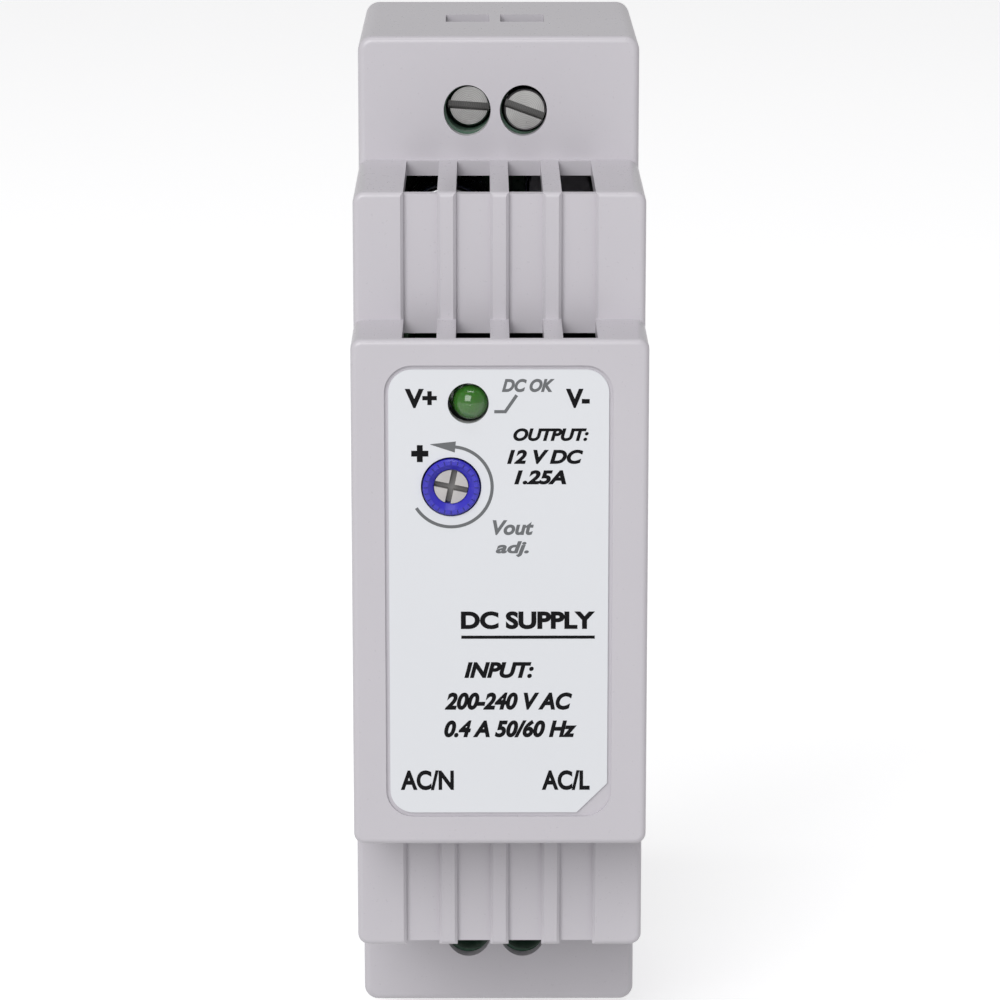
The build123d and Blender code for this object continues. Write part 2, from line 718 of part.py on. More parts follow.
# ---- Transformer -------------------------------------------------------------------------------
core_rear_y = part_y - bobbin_foot
core_front_y = core_rear_y - core_length
core_middle_y = (core_rear_y + core_front_y) / 2
window_front_y = core_front_y + core_yoke
window_rear_y = core_rear_y - core_yoke
outer_leg = core_yoke
half_core = core_width / 2
tube_x = core_leg / 2 + lead_gap + bobbin_wall
tube_z = core_depth / 2 + lead_gap + bobbin_wall
flange_x = half_core - outer_leg - lead_gap


def centred(half_x, y_range, half_z):
    """Block centred on the transformer's axis."""
    return span_block((transformer_x - half_x, transformer_x + half_x), y_range,
                      (transformer_z - half_z, transformer_z + half_z))


def core_half(y_range):
    """Half of the ferrite core: yoke, centre leg and two outer legs."""
    with BuildPart() as half:
        add(centred(half_core, y_range, core_depth / 2))
        for side in (1, -1):
            low = core_leg / 2
            high = half_core - outer_leg
            window = sorted((transformer_x + side * low, transformer_x + side * high))
            add(span_block(tuple(window), (window_front_y, window_rear_y),
                           (transformer_z - core_depth, transformer_z + core_depth)), mode=Mode.SUBTRACT)
    return half


write(core_half((core_front_y, core_middle_y - 0.02)), "transformer_core_front")
write(core_half((core_middle_y + 0.02, core_rear_y)), "transformer_core_rear")

with BuildPart() as transformer_bobbin:
    bobbin_front_y, bobbin_rear_y = window_front_y + lead_gap, window_rear_y - lead_gap
    add(centred(tube_x, (bobbin_front_y, bobbin_rear_y), tube_z))
    add(centred(flange_x, (bobbin_front_y, bobbin_front_y + bobbin_wall), bobbin_flange_z))
    add(centred(flange_x, (bobbin_rear_y - bobbin_wall, bobbin_rear_y), bobbin_flange_z))
    for side in (1, -1):
        rail = sorted(transformer_z + side * reach for reach in (core_depth / 2 + 0.3, bobbin_flange_z + 0.8))
        add(span_block((transformer_x - flange_x - 1, transformer_x + flange_x + 1),
                       (bobbin_rear_y - bobbin_wall, part_y), tuple(rail)))
    add(centred(core_leg / 2 + lead_gap, (bobbin_front_y - 1, bobbin_rear_y + 1), core_depth / 2 + lead_gap),
        mode=Mode.SUBTRACT)
write(transformer_bobbin, "transformer_bobbin")

pin_xs = [transformer_x + (i - 1.5) * 3.4 for i in range(4)]
with BuildPart() as transformer_pins:
    for side in (1, -1):
        for x in pin_xs:
            add(lead(x, transformer_z + side * (bobbin_flange_z - 0.6), part_y))
write(transformer_pins, "transformer_pins")

winding_y = (bobbin_front_y + bobbin_wall + lead_gap, bobbin_rear_y - bobbin_wall - lead_gap)
with BuildPart() as transformer_winding:
    add(centred(winding_x, winding_y, winding_z))
    fillet(transformer_winding.edges().filter_by(Axis.Y), 1.0)
    add(centred(tube_x, (winding_y[0] - 1, winding_y[1] + 1), tube_z), mode=Mode.SUBTRACT)
write(transformer_winding, "transformer_winding")
with BuildPart() as transformer_tape:
    add(centred(winding_x + tape_thickness, winding_y, winding_z + tape_thickness))
    fillet(transformer_tape.edges().filter_by(Axis.Y), 1.0 + tape_thickness)
    with BuildSketch(at_y(winding_y[1] + 1)):
        with Locations((transformer_x, transformer_z)):
            RectangleRounded(2 * winding_x, 2 * winding_z, 1.0)
    extrude(amount=winding_y[1] - winding_y[0] + 2, mode=Mode.SUBTRACT)
write(transformer_tape, "transformer_tape")

# ---- Output rectifier on its heat sink ---------------------------------------------------------
sink_face_z = heat_sink_z + heat_sink_thickness / 2
body_front_y = rectifier_lead_y - rectifier_body
tab_front_y = body_front_y - rectifier_tab
sink_screw_y = body_front_y - rectifier_tab / 2
rectifier_span = (rectifier_x - rectifier_width / 2, rectifier_x + rectifier_width / 2)


with BuildPart() as rectifier_heat_sink:
    add(span_block((heat_sink_x - heat_sink_width / 2, heat_sink_x + heat_sink_width / 2),
                   (part_y - heat_sink_height, part_y),
                   (heat_sink_z - heat_sink_thickness / 2, sink_face_z)))
    with BuildSketch(along_z(sink_face_z + 1)):
        with Locations((rectifier_x, sink_screw_y)):
            Circle(sink_screw_diameter / 2 + thread_gap)
    extrude(amount=-heat_sink_thickness - 2, mode=Mode.SUBTRACT)
write(rectifier_heat_sink, "rectifier_heat_sink")

with BuildPart() as output_rectifier:
    add(span_block(rectifier_span, (body_front_y, rectifier_lead_y),
                   (sink_face_z + 0.02, sink_face_z + rectifier_depth)))
    add(span_block(rectifier_span, (tab_front_y, body_front_y + 0.1),
                   (sink_face_z + 0.02, sink_face_z + rectifier_tab_thickness)))
    with BuildSketch(along_z(sink_face_z)):
        with Locations((rectifier_x, sink_screw_y)):
            Circle(sink_screw_diameter / 2 + 0.3)
    extrude(amount=rectifier_tab_thickness + 1, mode=Mode.SUBTRACT)
    for i in (-1, 0, 1):
        add(lead(rectifier_x + i * chip_pitch, sink_face_z + 2.6, rectifier_lead_y - 0.1, 0.8))
write(output_rectifier, "output_rectifier")

with BuildPart() as heat_sink_screw:
    head_z = sink_face_z + rectifier_tab_thickness + 0.02
    with BuildSketch(along_z(head_z)):
        with Locations((rectifier_x, sink_screw_y)):
            Circle(sink_screw_head / 2)
    extrude(amount=1.8)
    fillet(heat_sink_screw.edges().filter_by(GeomType.CIRCLE).group_by(Axis.Z)[-1], 0.8)
    with BuildSketch(along_z(head_z)):
        with Locations((rectifier_x, sink_screw_y)):
            Circle(sink_screw_diameter / 2)
    extrude(amount=-(rectifier_tab_thickness + heat_sink_thickness + 0.6))
    with Locations((rectifier_x, sink_screw_y, head_z + 1.6)):
        for angle in (0, 90):
            Box(2.8, 0.7, 1.4, rotation=(0, 0, angle), mode=Mode.SUBTRACT)
write(heat_sink_screw, "heat_sink_screw")

# ---- Input filter ------------------------------------------------------------------------------
with BuildPart() as filter_capacitor:
    with BuildSketch(at_y(part_y)):
        with Locations((filter_x, filter_z)):
            RectangleRounded(filter_width, filter_depth, 0.4)
    extrude(amount=filter_height)
    for side in (1, -1):
        add(lead(filter_x + side * 5.0, filter_z, part_y - 0.5))
write(filter_capacitor, "filter_capacitor")

choke_middle = choke_z - choke_thickness / 2


def choke_ring(inner, outer, low_z, high_z, angle=360.0, start=0.0):
    """Ring, or part of one, about the choke's axis, which runs along Z."""
    with BuildPart() as ring:
        with BuildSketch(along_z(low_z)):
            Circle(outer)
            Circle(inner, mode=Mode.SUBTRACT)
            if angle < 360:
                reach = 3 * outer
                first, last = radians(start), radians(start + angle)
                middle = (first + last) / 2
                with BuildLine():
                    Polyline((0, 0), (reach * cos(first), reach * sin(first)),
                             (reach * cos(middle), reach * sin(middle)),
                             (reach * cos(last), reach * sin(last)), close=True)
                make_face(mode=Mode.INTERSECT)
        extrude(amount=high_z - low_z)
    return Pos(choke_x, choke_y, 0) * ring.part


with BuildPart() as choke_core:
    add(choke_ring(choke_inner, choke_outer, choke_middle, choke_middle + choke_thickness))
write(choke_core, "choke_core")
for index, start in enumerate((30, 210)):
    with BuildPart() as choke_coil:
        add(choke_ring(choke_inner - choke_wire, choke_outer + choke_wire, choke_middle - choke_wire,
                       choke_middle + choke_thickness + choke_wire, 120, start))
        add(choke_ring(choke_inner, choke_outer, choke_middle, choke_middle + choke_thickness),
            mode=Mode.SUBTRACT)
    write(choke_coil, f"choke_coil_{index + 1}")

with BuildPart() as bridge_rectifier:
    with Locations((bridge_x, part_y - bridge_height / 2 - 0.4, bridge_z)):
        Box(bridge_width, bridge_height, bridge_length)
    chamfer(bridge_rectifier.edges().filter_by(Axis.Z).group_by(Axis.Y)[0], 0.4)
    for sign_x in (1, -1):
        for sign_z in (1, -1):
            add(lead(bridge_x + sign_x * (bridge_width / 2 - 0.5), bridge_z + sign_z * 2.54, part_y - 1.0))
write(bridge_rectifier, "bridge_rectifier")


def disc_part(x, z, diameter, thickness, plane_of, lead_step):
    """Dipped disc that stands on two leads; lead_step is the (x, z) step from its middle to a lead."""
    centre_y = part_y - disc_stand - diameter / 2
    with BuildPart() as disc:
        with BuildSketch(plane_of):
            Circle(diameter / 2)
        extrude(amount=thickness / 2, both=True)
        fillet(disc.edges().filter_by(GeomType.CIRCLE), thickness * 0.36)
        for side in (1, -1):
            add(lead(x + side * lead_step[0], z + side * lead_step[1], centre_y))
    return disc


def disc_plane(x, z, diameter, normal):
    """Plane through a disc's middle, facing along normal."""
    return Plane(origin=(x, part_y - disc_stand - diameter / 2, z), z_dir=normal)


write(disc_part(varistor_x, varistor_z, varistor_diameter, varistor_thickness,
                disc_plane(varistor_x, varistor_z, varistor_diameter, (0, 0, 1)), (2.5, 0)), "varistor")
write(disc_part(thermistor_x, thermistor_z, thermistor_diameter, thermistor_thickness,
                disc_plane(thermistor_x, thermistor_z, thermistor_diameter, (1, 0, 0)), (0, 2.5)),
      "inrush_thermistor")
write(disc_part(safety_x, safety_z, safety_diameter, safety_thickness,
                disc_plane(safety_x, safety_z, safety_diameter, (1, 0, 0)), (0, 2.5)), "safety_capacitor")

with BuildPart() as input_fuse:
    with BuildSketch(at_y(part_y)):
        with Locations((fuse_x, fuse_z)):
            RectangleRounded(fuse_width, fuse_length, 0.5)
    extrude(amount=fuse_height)
    for side in (1, -1):
        add(lead(fuse_x, fuse_z + side * 2.54, part_y - 0.5))
write(input_fuse, "input_fuse")

# ---- Output choke: a drum core with its coil ---------------------------------------------------
with BuildPart() as drum_core:
    for depth, radius in ((0, drum_diameter / 2), (drum_height - drum_flange, drum_diameter / 2)):
        with BuildSketch(at_y(part_y - depth)):
            with Locations((drum_x, drum_z)):
                Circle(radius)
        extrude(amount=drum_flange)
    with BuildSketch(at_y(part_y)):
        with Locations((drum_x, drum_z)):
            Circle(drum_waist / 2)
    extrude(amount=drum_height)
    for side in (1, -1):
        add(lead(drum_x, drum_z + side * 1.3, part_y - 0.5))
write(drum_core, "output_choke_core")
with BuildPart() as drum_coil:
    with BuildSketch(at_y(part_y - drum_flange - 0.05)):
        with Locations((drum_x, drum_z)):
            Circle(drum_diameter / 2 - 0.15)
            Circle(drum_waist / 2 + 0.02, mode=Mode.SUBTRACT)
    extrude(amount=drum_height - 2 * drum_flange - 0.1)
write(drum_coil, "output_choke_coil")


def axial_part(z, diameter, length):
    """Axial part that lies along X, with both leads bent down into the board."""
    y = part_y - diameter / 2 - 0.6
    half = wire / 2
    with BuildPart() as body:
        with BuildSketch(at_x(snubber_x - length / 2)):
            with Locations((y, z)):
                Circle(diameter / 2)
        extrude(amount=length)
        fillet(body.edges().filter_by(GeomType.CIRCLE), diameter * 0.15)
        with BuildSketch(at_x(snubber_x - axial_span / 2 - half)):
            with Locations((y, z)):
                Circle(half)
        extrude(amount=axial_span + wire)
        for side in (1, -1):
            add(lead(snubber_x + side * axial_span / 2, z, y))
    return body


write(axial_part(resistor_z, resistor_diameter, resistor_length), "snubber_resistor")
write(axial_part(diode_z, diode_diameter, diode_length), "snubber_diode")


# ---- Parts on the control board ----------------------------------------------------------------
def chip(z, length, pins):
    """Dual in-line chip on the control board, with pins in two rows."""
    near_x = control_x + 0.3
    middle_x = near_x + chip_height / 2
    half = square_pin / 2
    with BuildPart() as body:
        with Locations((middle_x, chip_y, z)):
            Box(chip_height, chip_depth, length)
        for side in (1, -1):
            for i in range(pins):
                pin_z = z + (i - (pins - 1) / 2) * chip_pitch
                y = chip_y + side * chip_row
                add(control_pin(y, pin_z, middle_x + half))
                inner = sorted((y - side * half, chip_y + side * (chip_depth / 2 - 0.1)))
                add(span_block((middle_x - half, middle_x + half), tuple(inner),
                               (pin_z - half, pin_z + half)))
    return body


write(chip(controller_z, controller_length, controller_pins), "switching_controller")
write(chip(coupler_z, coupler_length, coupler_pins), "optocoupler")

# indicator LED
led_tip_y = nose_y - led_proud
led_rear_y = led_tip_y + led_length
dome = led_diameter / 2 - led_length       # where the dome begins, from the LED's rear
with BuildPart() as status_led:
    with BuildSketch(Plane(origin=(led_x, led_rear_y, led_z), x_dir=(1, 0, 0), z_dir=(0, 0, 1))):
        with BuildLine():
            Polyline((0, dome), (0, 0), (led_flange_diameter / 2, 0),
                     (led_flange_diameter / 2, -led_flange_thickness),
                     (led_diameter / 2, -led_flange_thickness), (led_diameter / 2, dome))
            TangentArc((led_diameter / 2, dome), (0, -led_length), tangent=(0, -1))
            Line((0, -led_length), (0, dome))
        make_face()
    revolve(axis=Axis((led_x, 0, led_z), (0, 1, 0)))
write(status_led, "status_led")

led_bend_y = led_rear_y + 1.4
with BuildPart() as led_leads:
    half = square_pin / 2
    for side in (1, -1):
        z = led_z + side * chip_pitch / 2
        add(control_pin(led_bend_y, z, led_x + half))
        add(span_block((led_x - half, led_x + half), (led_rear_y, led_bend_y + half), (z - half, z + half)))
write(led_leads, "led_leads")

# adjuster: body with a collar and funnel, rotor, legs
collar_front_y = nose_y - trimmer_proud
block_front = nose_y + wall + 0.3
block_rear = block_front + trimmer_block_length
rotor_front_y = collar_front_y + rotor_sink
bore_radius = rotor_diameter / 2 + turning_gap
with BuildPart() as trimmer_body:
    with BuildSketch(at_y(block_rear)):
        with Locations((trimmer_x, trimmer_z)):
            RectangleRounded(trimmer_block, trimmer_block, 0.6)
    extrude(amount=trimmer_block_length)
    with BuildSketch(at_y(block_front)):
        with Locations((trimmer_x, trimmer_z)):
            Circle(trimmer_collar_diameter / 2)
    extrude(amount=block_front - collar_front_y)
    chamfer(trimmer_body.edges().filter_by(GeomType.CIRCLE).group_by(Axis.Y)[0], 0.15)
    with BuildSketch(at_y(collar_front_y)):
        with Locations((trimmer_x, trimmer_z)):
            Circle(bore_radius)
    extrude(amount=-(rotor_sink + rotor_length + turning_gap), mode=Mode.SUBTRACT)
    # funnel that guides a screwdriver to the rotor
    with BuildSketch(at_y(collar_front_y)):
        with Locations((trimmer_x, trimmer_z)):
            Circle(funnel_diameter / 2)
    with BuildSketch(at_y(rotor_front_y + 0.1)):
        with Locations((trimmer_x, trimmer_z)):
            Circle(bore_radius)
    loft(mode=Mode.SUBTRACT)
write(trimmer_body, "trimmer_body")

with BuildPart() as trimmer_rotor:
    with BuildSketch(at_y(rotor_front_y + rotor_length)):
        with Locations((trimmer_x, trimmer_z)):
            Circle(rotor_diameter / 2)
    extrude(amount=rotor_length)
    for angle in (12, 102):
        with Locations((trimmer_x, rotor_front_y + rotor_slot_depth / 2 - 0.5, trimmer_z)):
            Box(2 * rotor_diameter, rotor_slot_depth + 1, rotor_slot_width, mode=Mode.SUBTRACT,
                rotation=(0, angle, 0))
write(trimmer_rotor, "trimmer_rotor")

with BuildPart() as trimmer_legs:
    for step in (-1, 0, 1):
        add(control_pin(block_rear - 1.6, trimmer_z + step * chip_pitch, trimmer_x - trimmer_block / 2))
write(trimmer_legs, "trimmer_legs")

# ---- Boards, header and sheet ------------------------------------------------------------------
header_x = control_back_x - 0.1 - header_width / 2
header_pin_y = part_y - header_height / 2
header_pin_zs = [header_z + (i - (header_pins - 1) / 2) * header_pitch for i in range(header_pins)]
with BuildPart() as header_contacts:
    for z in header_pin_zs:
        add(lead(header_x, z, header_pin_y, square_pin))
        half = square_pin / 2
        control_leads.append((header_pin_y, z))
        add(span_block((header_x - half, control_x + lead_tail), (header_pin_y - half, header_pin_y + half),
                       (z - half, z + half)))
write(header_contacts, "header_contacts")
with BuildPart() as link_header:
    add(span_block((header_x - header_width / 2, header_x + header_width / 2),
                   (part_y - header_height, part_y),
                   (header_pin_zs[0] - header_pitch / 2, header_pin_zs[-1] + header_pitch / 2)))
    add(header_contacts.part, mode=Mode.SUBTRACT)
write(link_header, "link_header")

with BuildPart() as main_board:
    with BuildSketch(at_y(board_y + board_thickness)):
        RectangleRounded(board_width, board_height, 0.8)
        for x, z, radius in board_leads:
            with Locations((x, z)):
                Circle(radius + lead_gap, mode=Mode.SUBTRACT)
        for pole in poles:
            with Locations((pole_x(pole), pole.end * screw_z)):
                Rectangle(pin_width + 2 * lead_gap, pin_thickness + 2 * lead_gap, mode=Mode.SUBTRACT)
    extrude(amount=board_thickness)
write(main_board, "main_board")

with BuildPart() as control_board:
    with BuildSketch(at_x(control_back_x)):
        with Locations(((control_front_y + part_y - 0.3) / 2, (control_bottom_z + control_top_z) / 2)):
            Rectangle(part_y - 0.3 - control_front_y, control_top_z - control_bottom_z)
        for y, z in control_leads:
            with Locations((y, z)):
                Circle(square_pin * 0.5 + square_pin * 0.21 + lead_gap, mode=Mode.SUBTRACT)
    extrude(amount=control_thickness)
write(control_board, "control_board")

with BuildPart() as insulating_sheet:
    with BuildSketch(at_y(floor_front_y - sheet_gap)):
        RectangleRounded(board_width - 1, sheet_height, 1.0)
    extrude(amount=sheet_thickness)
write(insulating_sheet, "insulating_sheet")
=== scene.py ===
"""Looks of a slim stepped DIN rail power supply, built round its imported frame."""

import logging
import math
from dataclasses import dataclass, field
from enum import Enum

import bmesh
import bpy
from mathutils import Matrix, Vector


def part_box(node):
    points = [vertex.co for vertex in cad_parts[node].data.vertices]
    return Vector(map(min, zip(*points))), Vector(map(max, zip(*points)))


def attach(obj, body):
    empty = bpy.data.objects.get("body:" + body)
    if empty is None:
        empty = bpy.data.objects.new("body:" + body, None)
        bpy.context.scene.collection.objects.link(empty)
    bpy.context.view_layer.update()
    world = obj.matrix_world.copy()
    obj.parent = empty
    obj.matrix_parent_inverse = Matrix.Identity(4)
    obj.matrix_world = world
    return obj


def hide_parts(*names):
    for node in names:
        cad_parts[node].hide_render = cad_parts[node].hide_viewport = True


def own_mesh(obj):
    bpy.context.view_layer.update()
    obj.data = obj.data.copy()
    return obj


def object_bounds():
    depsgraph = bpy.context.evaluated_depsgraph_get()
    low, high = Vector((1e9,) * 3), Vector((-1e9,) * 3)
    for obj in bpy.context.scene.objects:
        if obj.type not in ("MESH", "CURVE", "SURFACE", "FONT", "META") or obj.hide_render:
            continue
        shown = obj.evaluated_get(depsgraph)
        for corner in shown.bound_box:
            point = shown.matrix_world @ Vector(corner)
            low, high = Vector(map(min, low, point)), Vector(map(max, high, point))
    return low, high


MM = 0.001
FULL_TURN = 2 * math.pi
LOG = logging.getLogger("power_supply")
TRACK_GAP = (0.04, 0.07)      # where a track's edge starts and ends, as a share of its pitch
BRUSH_STRETCH = 0.06          # scale of brush marks along Y: below 1 draws them out
WAVE_RATE = 20                # the wave texture repeats every full turn / (WAVE_RATE * scale)
WAVE_WOBBLE = 0.25            # how uneven the wave texture's bands are
GRAIN_IN_LINES = 0.25         # share of the grain's height that shows on a line pattern
LINE_SHADE = 0.72             # how dark the gaps of a line pattern are
MOTTLE_RANGE = (0.3, 0.7)     # noise values between which the mottle changes colour
MOTTLE_DETAIL, GRAIN_DETAIL, BRUSH_DETAIL = 3.0, 2.0, 4.0
COAT_ROUGHNESS = 0.08
WORD_DEPTH = 0.1              # depth of a word before it is fitted; only its sign is used
WORD_STEPS = 6                # steps in each curve of a letter
WORD_WELD = 1e-4              # points of a letter closer than this are one, at font size
SHARPEST_MITRE = 0.5          # least cosine by which a mitre may widen a line
SCATTER_MM = 0.6              # how far light travels under a soft surface
MIX_FACTOR, MIX_A, MIX_B, MIX_RESULT = 0, 6, 7, 2   # colour sockets of the mix node

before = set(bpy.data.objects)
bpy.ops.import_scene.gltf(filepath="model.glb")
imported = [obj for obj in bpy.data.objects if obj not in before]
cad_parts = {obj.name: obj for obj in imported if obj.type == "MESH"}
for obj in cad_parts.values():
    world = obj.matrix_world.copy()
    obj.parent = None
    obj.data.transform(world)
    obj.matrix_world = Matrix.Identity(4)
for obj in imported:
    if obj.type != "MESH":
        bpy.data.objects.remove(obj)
CAD_BOX = [list(corner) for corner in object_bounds()]


class Pattern(Enum):
    """What a finish shows besides its grain."""

    PLAIN = "plain"
    RINGS = "rings"
    BRUSHED = "brushed"
    WIRE_Y = "wire_y"
    WIRE_Z = "wire_z"
    TRACKS = "tracks"
    FIBRES = "fibres"


class Ink(Enum):
    """Printing inks on the label."""

    BLACK = "black"
    GREY = "grey"


@dataclass(frozen=True)
class Finish:
    """One surface finish, made as a node material on Object coordinates."""

    name: str
    colour: tuple[float, float, float]
    shade: tuple[float, float, float]
    roughness: tuple[float, float] = (0.4, 0.5)
    metallic: float = 0.0
    grain_mm: float = 0.35
    bump: float = 0.15
    bump_depth_mm: float = 0.02
    mottle_mm: float = 9.0
    coat: float = 0.0
    specular: float = 0.5
    transmission: float = 0.0
    subsurface: float = 0.0
    emission: float = 0.0
    pattern: Pattern = Pattern.PLAIN
    pitch_mm: float = 0.4
    # painted shade in slots: depths behind the front face where it starts and where it is full, and
    # the share of colour left
    painted_shade_mm: tuple[float, float] = (0.03, 0.30)
    painted_shade_share: float = 0.30

    def build(self, centre: Vector = Vector((0, 0, 0)), suffix: str = "",
              front: float | None = None) -> bpy.types.Material:
        """Makes the material.

        Args:
            centre: point that a ring pattern turns about, in metres.
            suffix: added to the name of a material made for one piece.
            front: where the piece's front face is along Y; slots behind it get painted shade.

        Returns:
            The finished node material.
        """
        material = bpy.data.materials.new(self.name + suffix)
        material.use_nodes = True
        tree = material.node_tree
        shader = tree.nodes["Principled BSDF"]
        shader.inputs["Metallic"].default_value = self.metallic
        shader.inputs["Coat Weight"].default_value = self.coat
        shader.inputs["Coat Roughness"].default_value = COAT_ROUGHNESS
        shader.inputs["Specular IOR Level"].default_value = self.specular
        shader.inputs["Transmission Weight"].default_value = self.transmission
        shader.inputs["Subsurface Weight"].default_value = self.subsurface
        shader.inputs["Subsurface Scale"].default_value = SCATTER_MM * MM
        shader.inputs["Emission Strength"].default_value = self.emission
        shader.inputs["Emission Color"].default_value = (*self.colour, 1)
        coordinates = tree.nodes.new("ShaderNodeTexCoord")
        mapping = tree.nodes.new("ShaderNodeMapping")
        mapping.inputs["Location"].default_value = -centre
        tree.links.new(coordinates.outputs["Object"], mapping.inputs["Vector"])
        place = mapping.outputs["Vector"]
        mottle = self.noise(tree, place, self.mottle_mm, MOTTLE_DETAIL)
        grain = self.noise(tree, place, self.grain_mm, GRAIN_DETAIL)
        height = grain
        mixed = self.blend_colours(tree, mottle, self.shade, self.colour)
        if self.pattern is not Pattern.PLAIN:
            lines = self.lines(tree, place)
            height = self.combine(tree, grain, lines)
            mixed = self.darken(tree, mixed, lines, LINE_SHADE)
        if front is not None:
            # painted shade: the colour darkens inside slots behind the front face, standing in for
            # their shadow
            mixed = self.darken(tree, mixed, self.painted_shade_mask(tree, coordinates, front), self.painted_shade_share)
        tree.links.new(mixed, shader.inputs["Base Color"])
        rough = tree.nodes.new("ShaderNodeMapRange")
        rough.inputs["To Min"].default_value = self.roughness[0]
        rough.inputs["To Max"].default_value = self.roughness[1]
        tree.links.new(grain, rough.inputs["Value"])
        tree.links.new(rough.outputs["Result"], shader.inputs["Roughness"])
        bump = tree.nodes.new("ShaderNodeBump")
        bump.inputs["Strength"].default_value = self.bump
        bump.inputs["Distance"].default_value = self.bump_depth_mm * MM
        tree.links.new(height, bump.inputs["Height"])
        tree.links.new(bump.outputs["Normal"], shader.inputs["Normal"])
        return material

    def noise(self, tree: bpy.types.NodeTree, place: bpy.types.NodeSocket, size_mm: float,
              detail: float) -> bpy.types.NodeSocket:
        """Adds a noise.

        Args:
            tree: the material's nodes.
            place: the coordinates it reads.
            size_mm: how wide its features are.
            detail: how many finer layers it has.

        Returns:
            The noise's value.
        """
        texture = tree.nodes.new("ShaderNodeTexNoise")
        texture.inputs["Scale"].default_value = 1 / (size_mm * MM)
        texture.inputs["Detail"].default_value = detail
        tree.links.new(place, texture.inputs["Vector"])
        return texture.outputs["Fac"]

    def lines(self, tree: bpy.types.NodeTree, place: bpy.types.NodeSocket) -> bpy.types.NodeSocket:
        """Adds the finish's line pattern.

        Args:
            tree: the material's nodes.
            place: the coordinates it reads.

        Returns:
            The pattern's value, 0 in the gaps.
        """
        if self.pattern is Pattern.TRACKS:
            cells = tree.nodes.new("ShaderNodeTexVoronoi")
            cells.feature = "DISTANCE_TO_EDGE"
            cells.inputs["Scale"].default_value = 1 / (self.pitch_mm * MM)
            tree.links.new(place, cells.inputs["Vector"])
            edge = tree.nodes.new("ShaderNodeMapRange")
            edge.inputs["From Min"].default_value = TRACK_GAP[0]
            edge.inputs["From Max"].default_value = TRACK_GAP[1]
            tree.links.new(cells.outputs["Distance"], edge.inputs["Value"])
            return edge.outputs["Result"]
        if self.pattern in (Pattern.BRUSHED, Pattern.FIBRES):
            stretch = tree.nodes.new("ShaderNodeMapping")
            stretch.inputs["Scale"].default_value = (1.0, BRUSH_STRETCH, 1.0)
            tree.links.new(place, stretch.inputs["Vector"])
            return self.noise(tree, stretch.outputs["Vector"], self.pitch_mm, BRUSH_DETAIL)
        wave = tree.nodes.new("ShaderNodeTexWave")
        wave.wave_type = "RINGS" if self.pattern is Pattern.RINGS else "BANDS"
        if self.pattern is Pattern.RINGS:
            wave.rings_direction = "Y"
        else:
            wave.bands_direction = "Y" if self.pattern is Pattern.WIRE_Y else "Z"
        wave.inputs["Scale"].default_value = FULL_TURN / (WAVE_RATE * self.pitch_mm * MM)
        wave.inputs["Distortion"].default_value = WAVE_WOBBLE
        tree.links.new(place, wave.inputs["Vector"])
        return wave.outputs["Fac"]

    def combine(self, tree: bpy.types.NodeTree, grain: bpy.types.NodeSocket,
                lines: bpy.types.NodeSocket) -> bpy.types.NodeSocket:
        """Adds a little grain to a line pattern's height.

        Args:
            tree: the material's nodes.
            grain: the grain's value.
            lines: the pattern's value.

        Returns:
            The height of both together.
        """
        scaled = tree.nodes.new("ShaderNodeMath")
        scaled.operation = "MULTIPLY_ADD"
        scaled.inputs[1].default_value = GRAIN_IN_LINES
        tree.links.new(grain, scaled.inputs[0])
        tree.links.new(lines, scaled.inputs[2])
        return scaled.outputs["Value"]

    def blend_colours(self, tree: bpy.types.NodeTree, factor: bpy.types.NodeSocket,
                      low: tuple[float, float, float],
                      high: tuple[float, float, float]) -> bpy.types.NodeSocket:
        """Mixes two colours by a pattern's value, with most of the change near its middle.

        Args:
            tree: the material's nodes.
            factor: the pattern's value.
            low: colour where the pattern is low.
            high: colour where it is high.

        Returns:
            The mixed colour.
        """
        ramp = tree.nodes.new("ShaderNodeValToRGB")
        ramp.color_ramp.elements[0].position = MOTTLE_RANGE[0]
        ramp.color_ramp.elements[0].color = (*low, 1)
        ramp.color_ramp.elements[1].position = MOTTLE_RANGE[1]
        ramp.color_ramp.elements[1].color = (*high, 1)
        tree.links.new(factor, ramp.inputs["Fac"])
        return ramp.outputs["Color"]

    def painted_shade_mask(self, tree: bpy.types.NodeTree, coordinates: bpy.types.Node,
              front: float) -> bpy.types.NodeSocket:
        """Adds a mask for painted shade in slots.

        Args:
            tree: the material's nodes.
            coordinates: the coordinates node.
            front: where the front face is along Y, in metres.

        Returns:
            A value that falls from 1 at the front face to 0 inside its slots.
        """
        parts = tree.nodes.new("ShaderNodeSeparateXYZ")
        tree.links.new(coordinates.outputs["Object"], parts.inputs["Vector"])
        depth = tree.nodes.new("ShaderNodeMapRange")
        depth.inputs["From Min"].default_value = front + self.painted_shade_mm[0] * MM
        depth.inputs["From Max"].default_value = front + self.painted_shade_mm[1] * MM
        depth.inputs["To Min"].default_value = 1.0
        depth.inputs["To Max"].default_value = 0.0
        tree.links.new(parts.outputs["Y"], depth.inputs["Value"])
        return depth.outputs["Result"]

    def darken(self, tree: bpy.types.NodeTree, colour: bpy.types.NodeSocket,
               lines: bpy.types.NodeSocket, shade: float) -> bpy.types.NodeSocket:
        """Darkens a colour where a pattern's value is 0.

        Args:
            tree: the material's nodes.
            colour: the colour to darken.
            lines: the pattern's value.
            shade: share of the colour that is left at 0.

        Returns:
            The darkened colour.
        """
        depth = tree.nodes.new("ShaderNodeMapRange")
        depth.inputs["To Min"].default_value = shade
        depth.inputs["To Max"].default_value = 1.0
        tree.links.new(lines, depth.inputs["Value"])
        mix = tree.nodes.new("ShaderNodeMix")
        mix.data_type, mix.blend_type = "RGBA", "MULTIPLY"
        mix.inputs[MIX_FACTOR].default_value = 1.0
        tree.links.new(colour, mix.inputs[MIX_A])
        tree.links.new(depth.outputs["Result"], mix.inputs[MIX_B])
        return mix.outputs[MIX_RESULT]


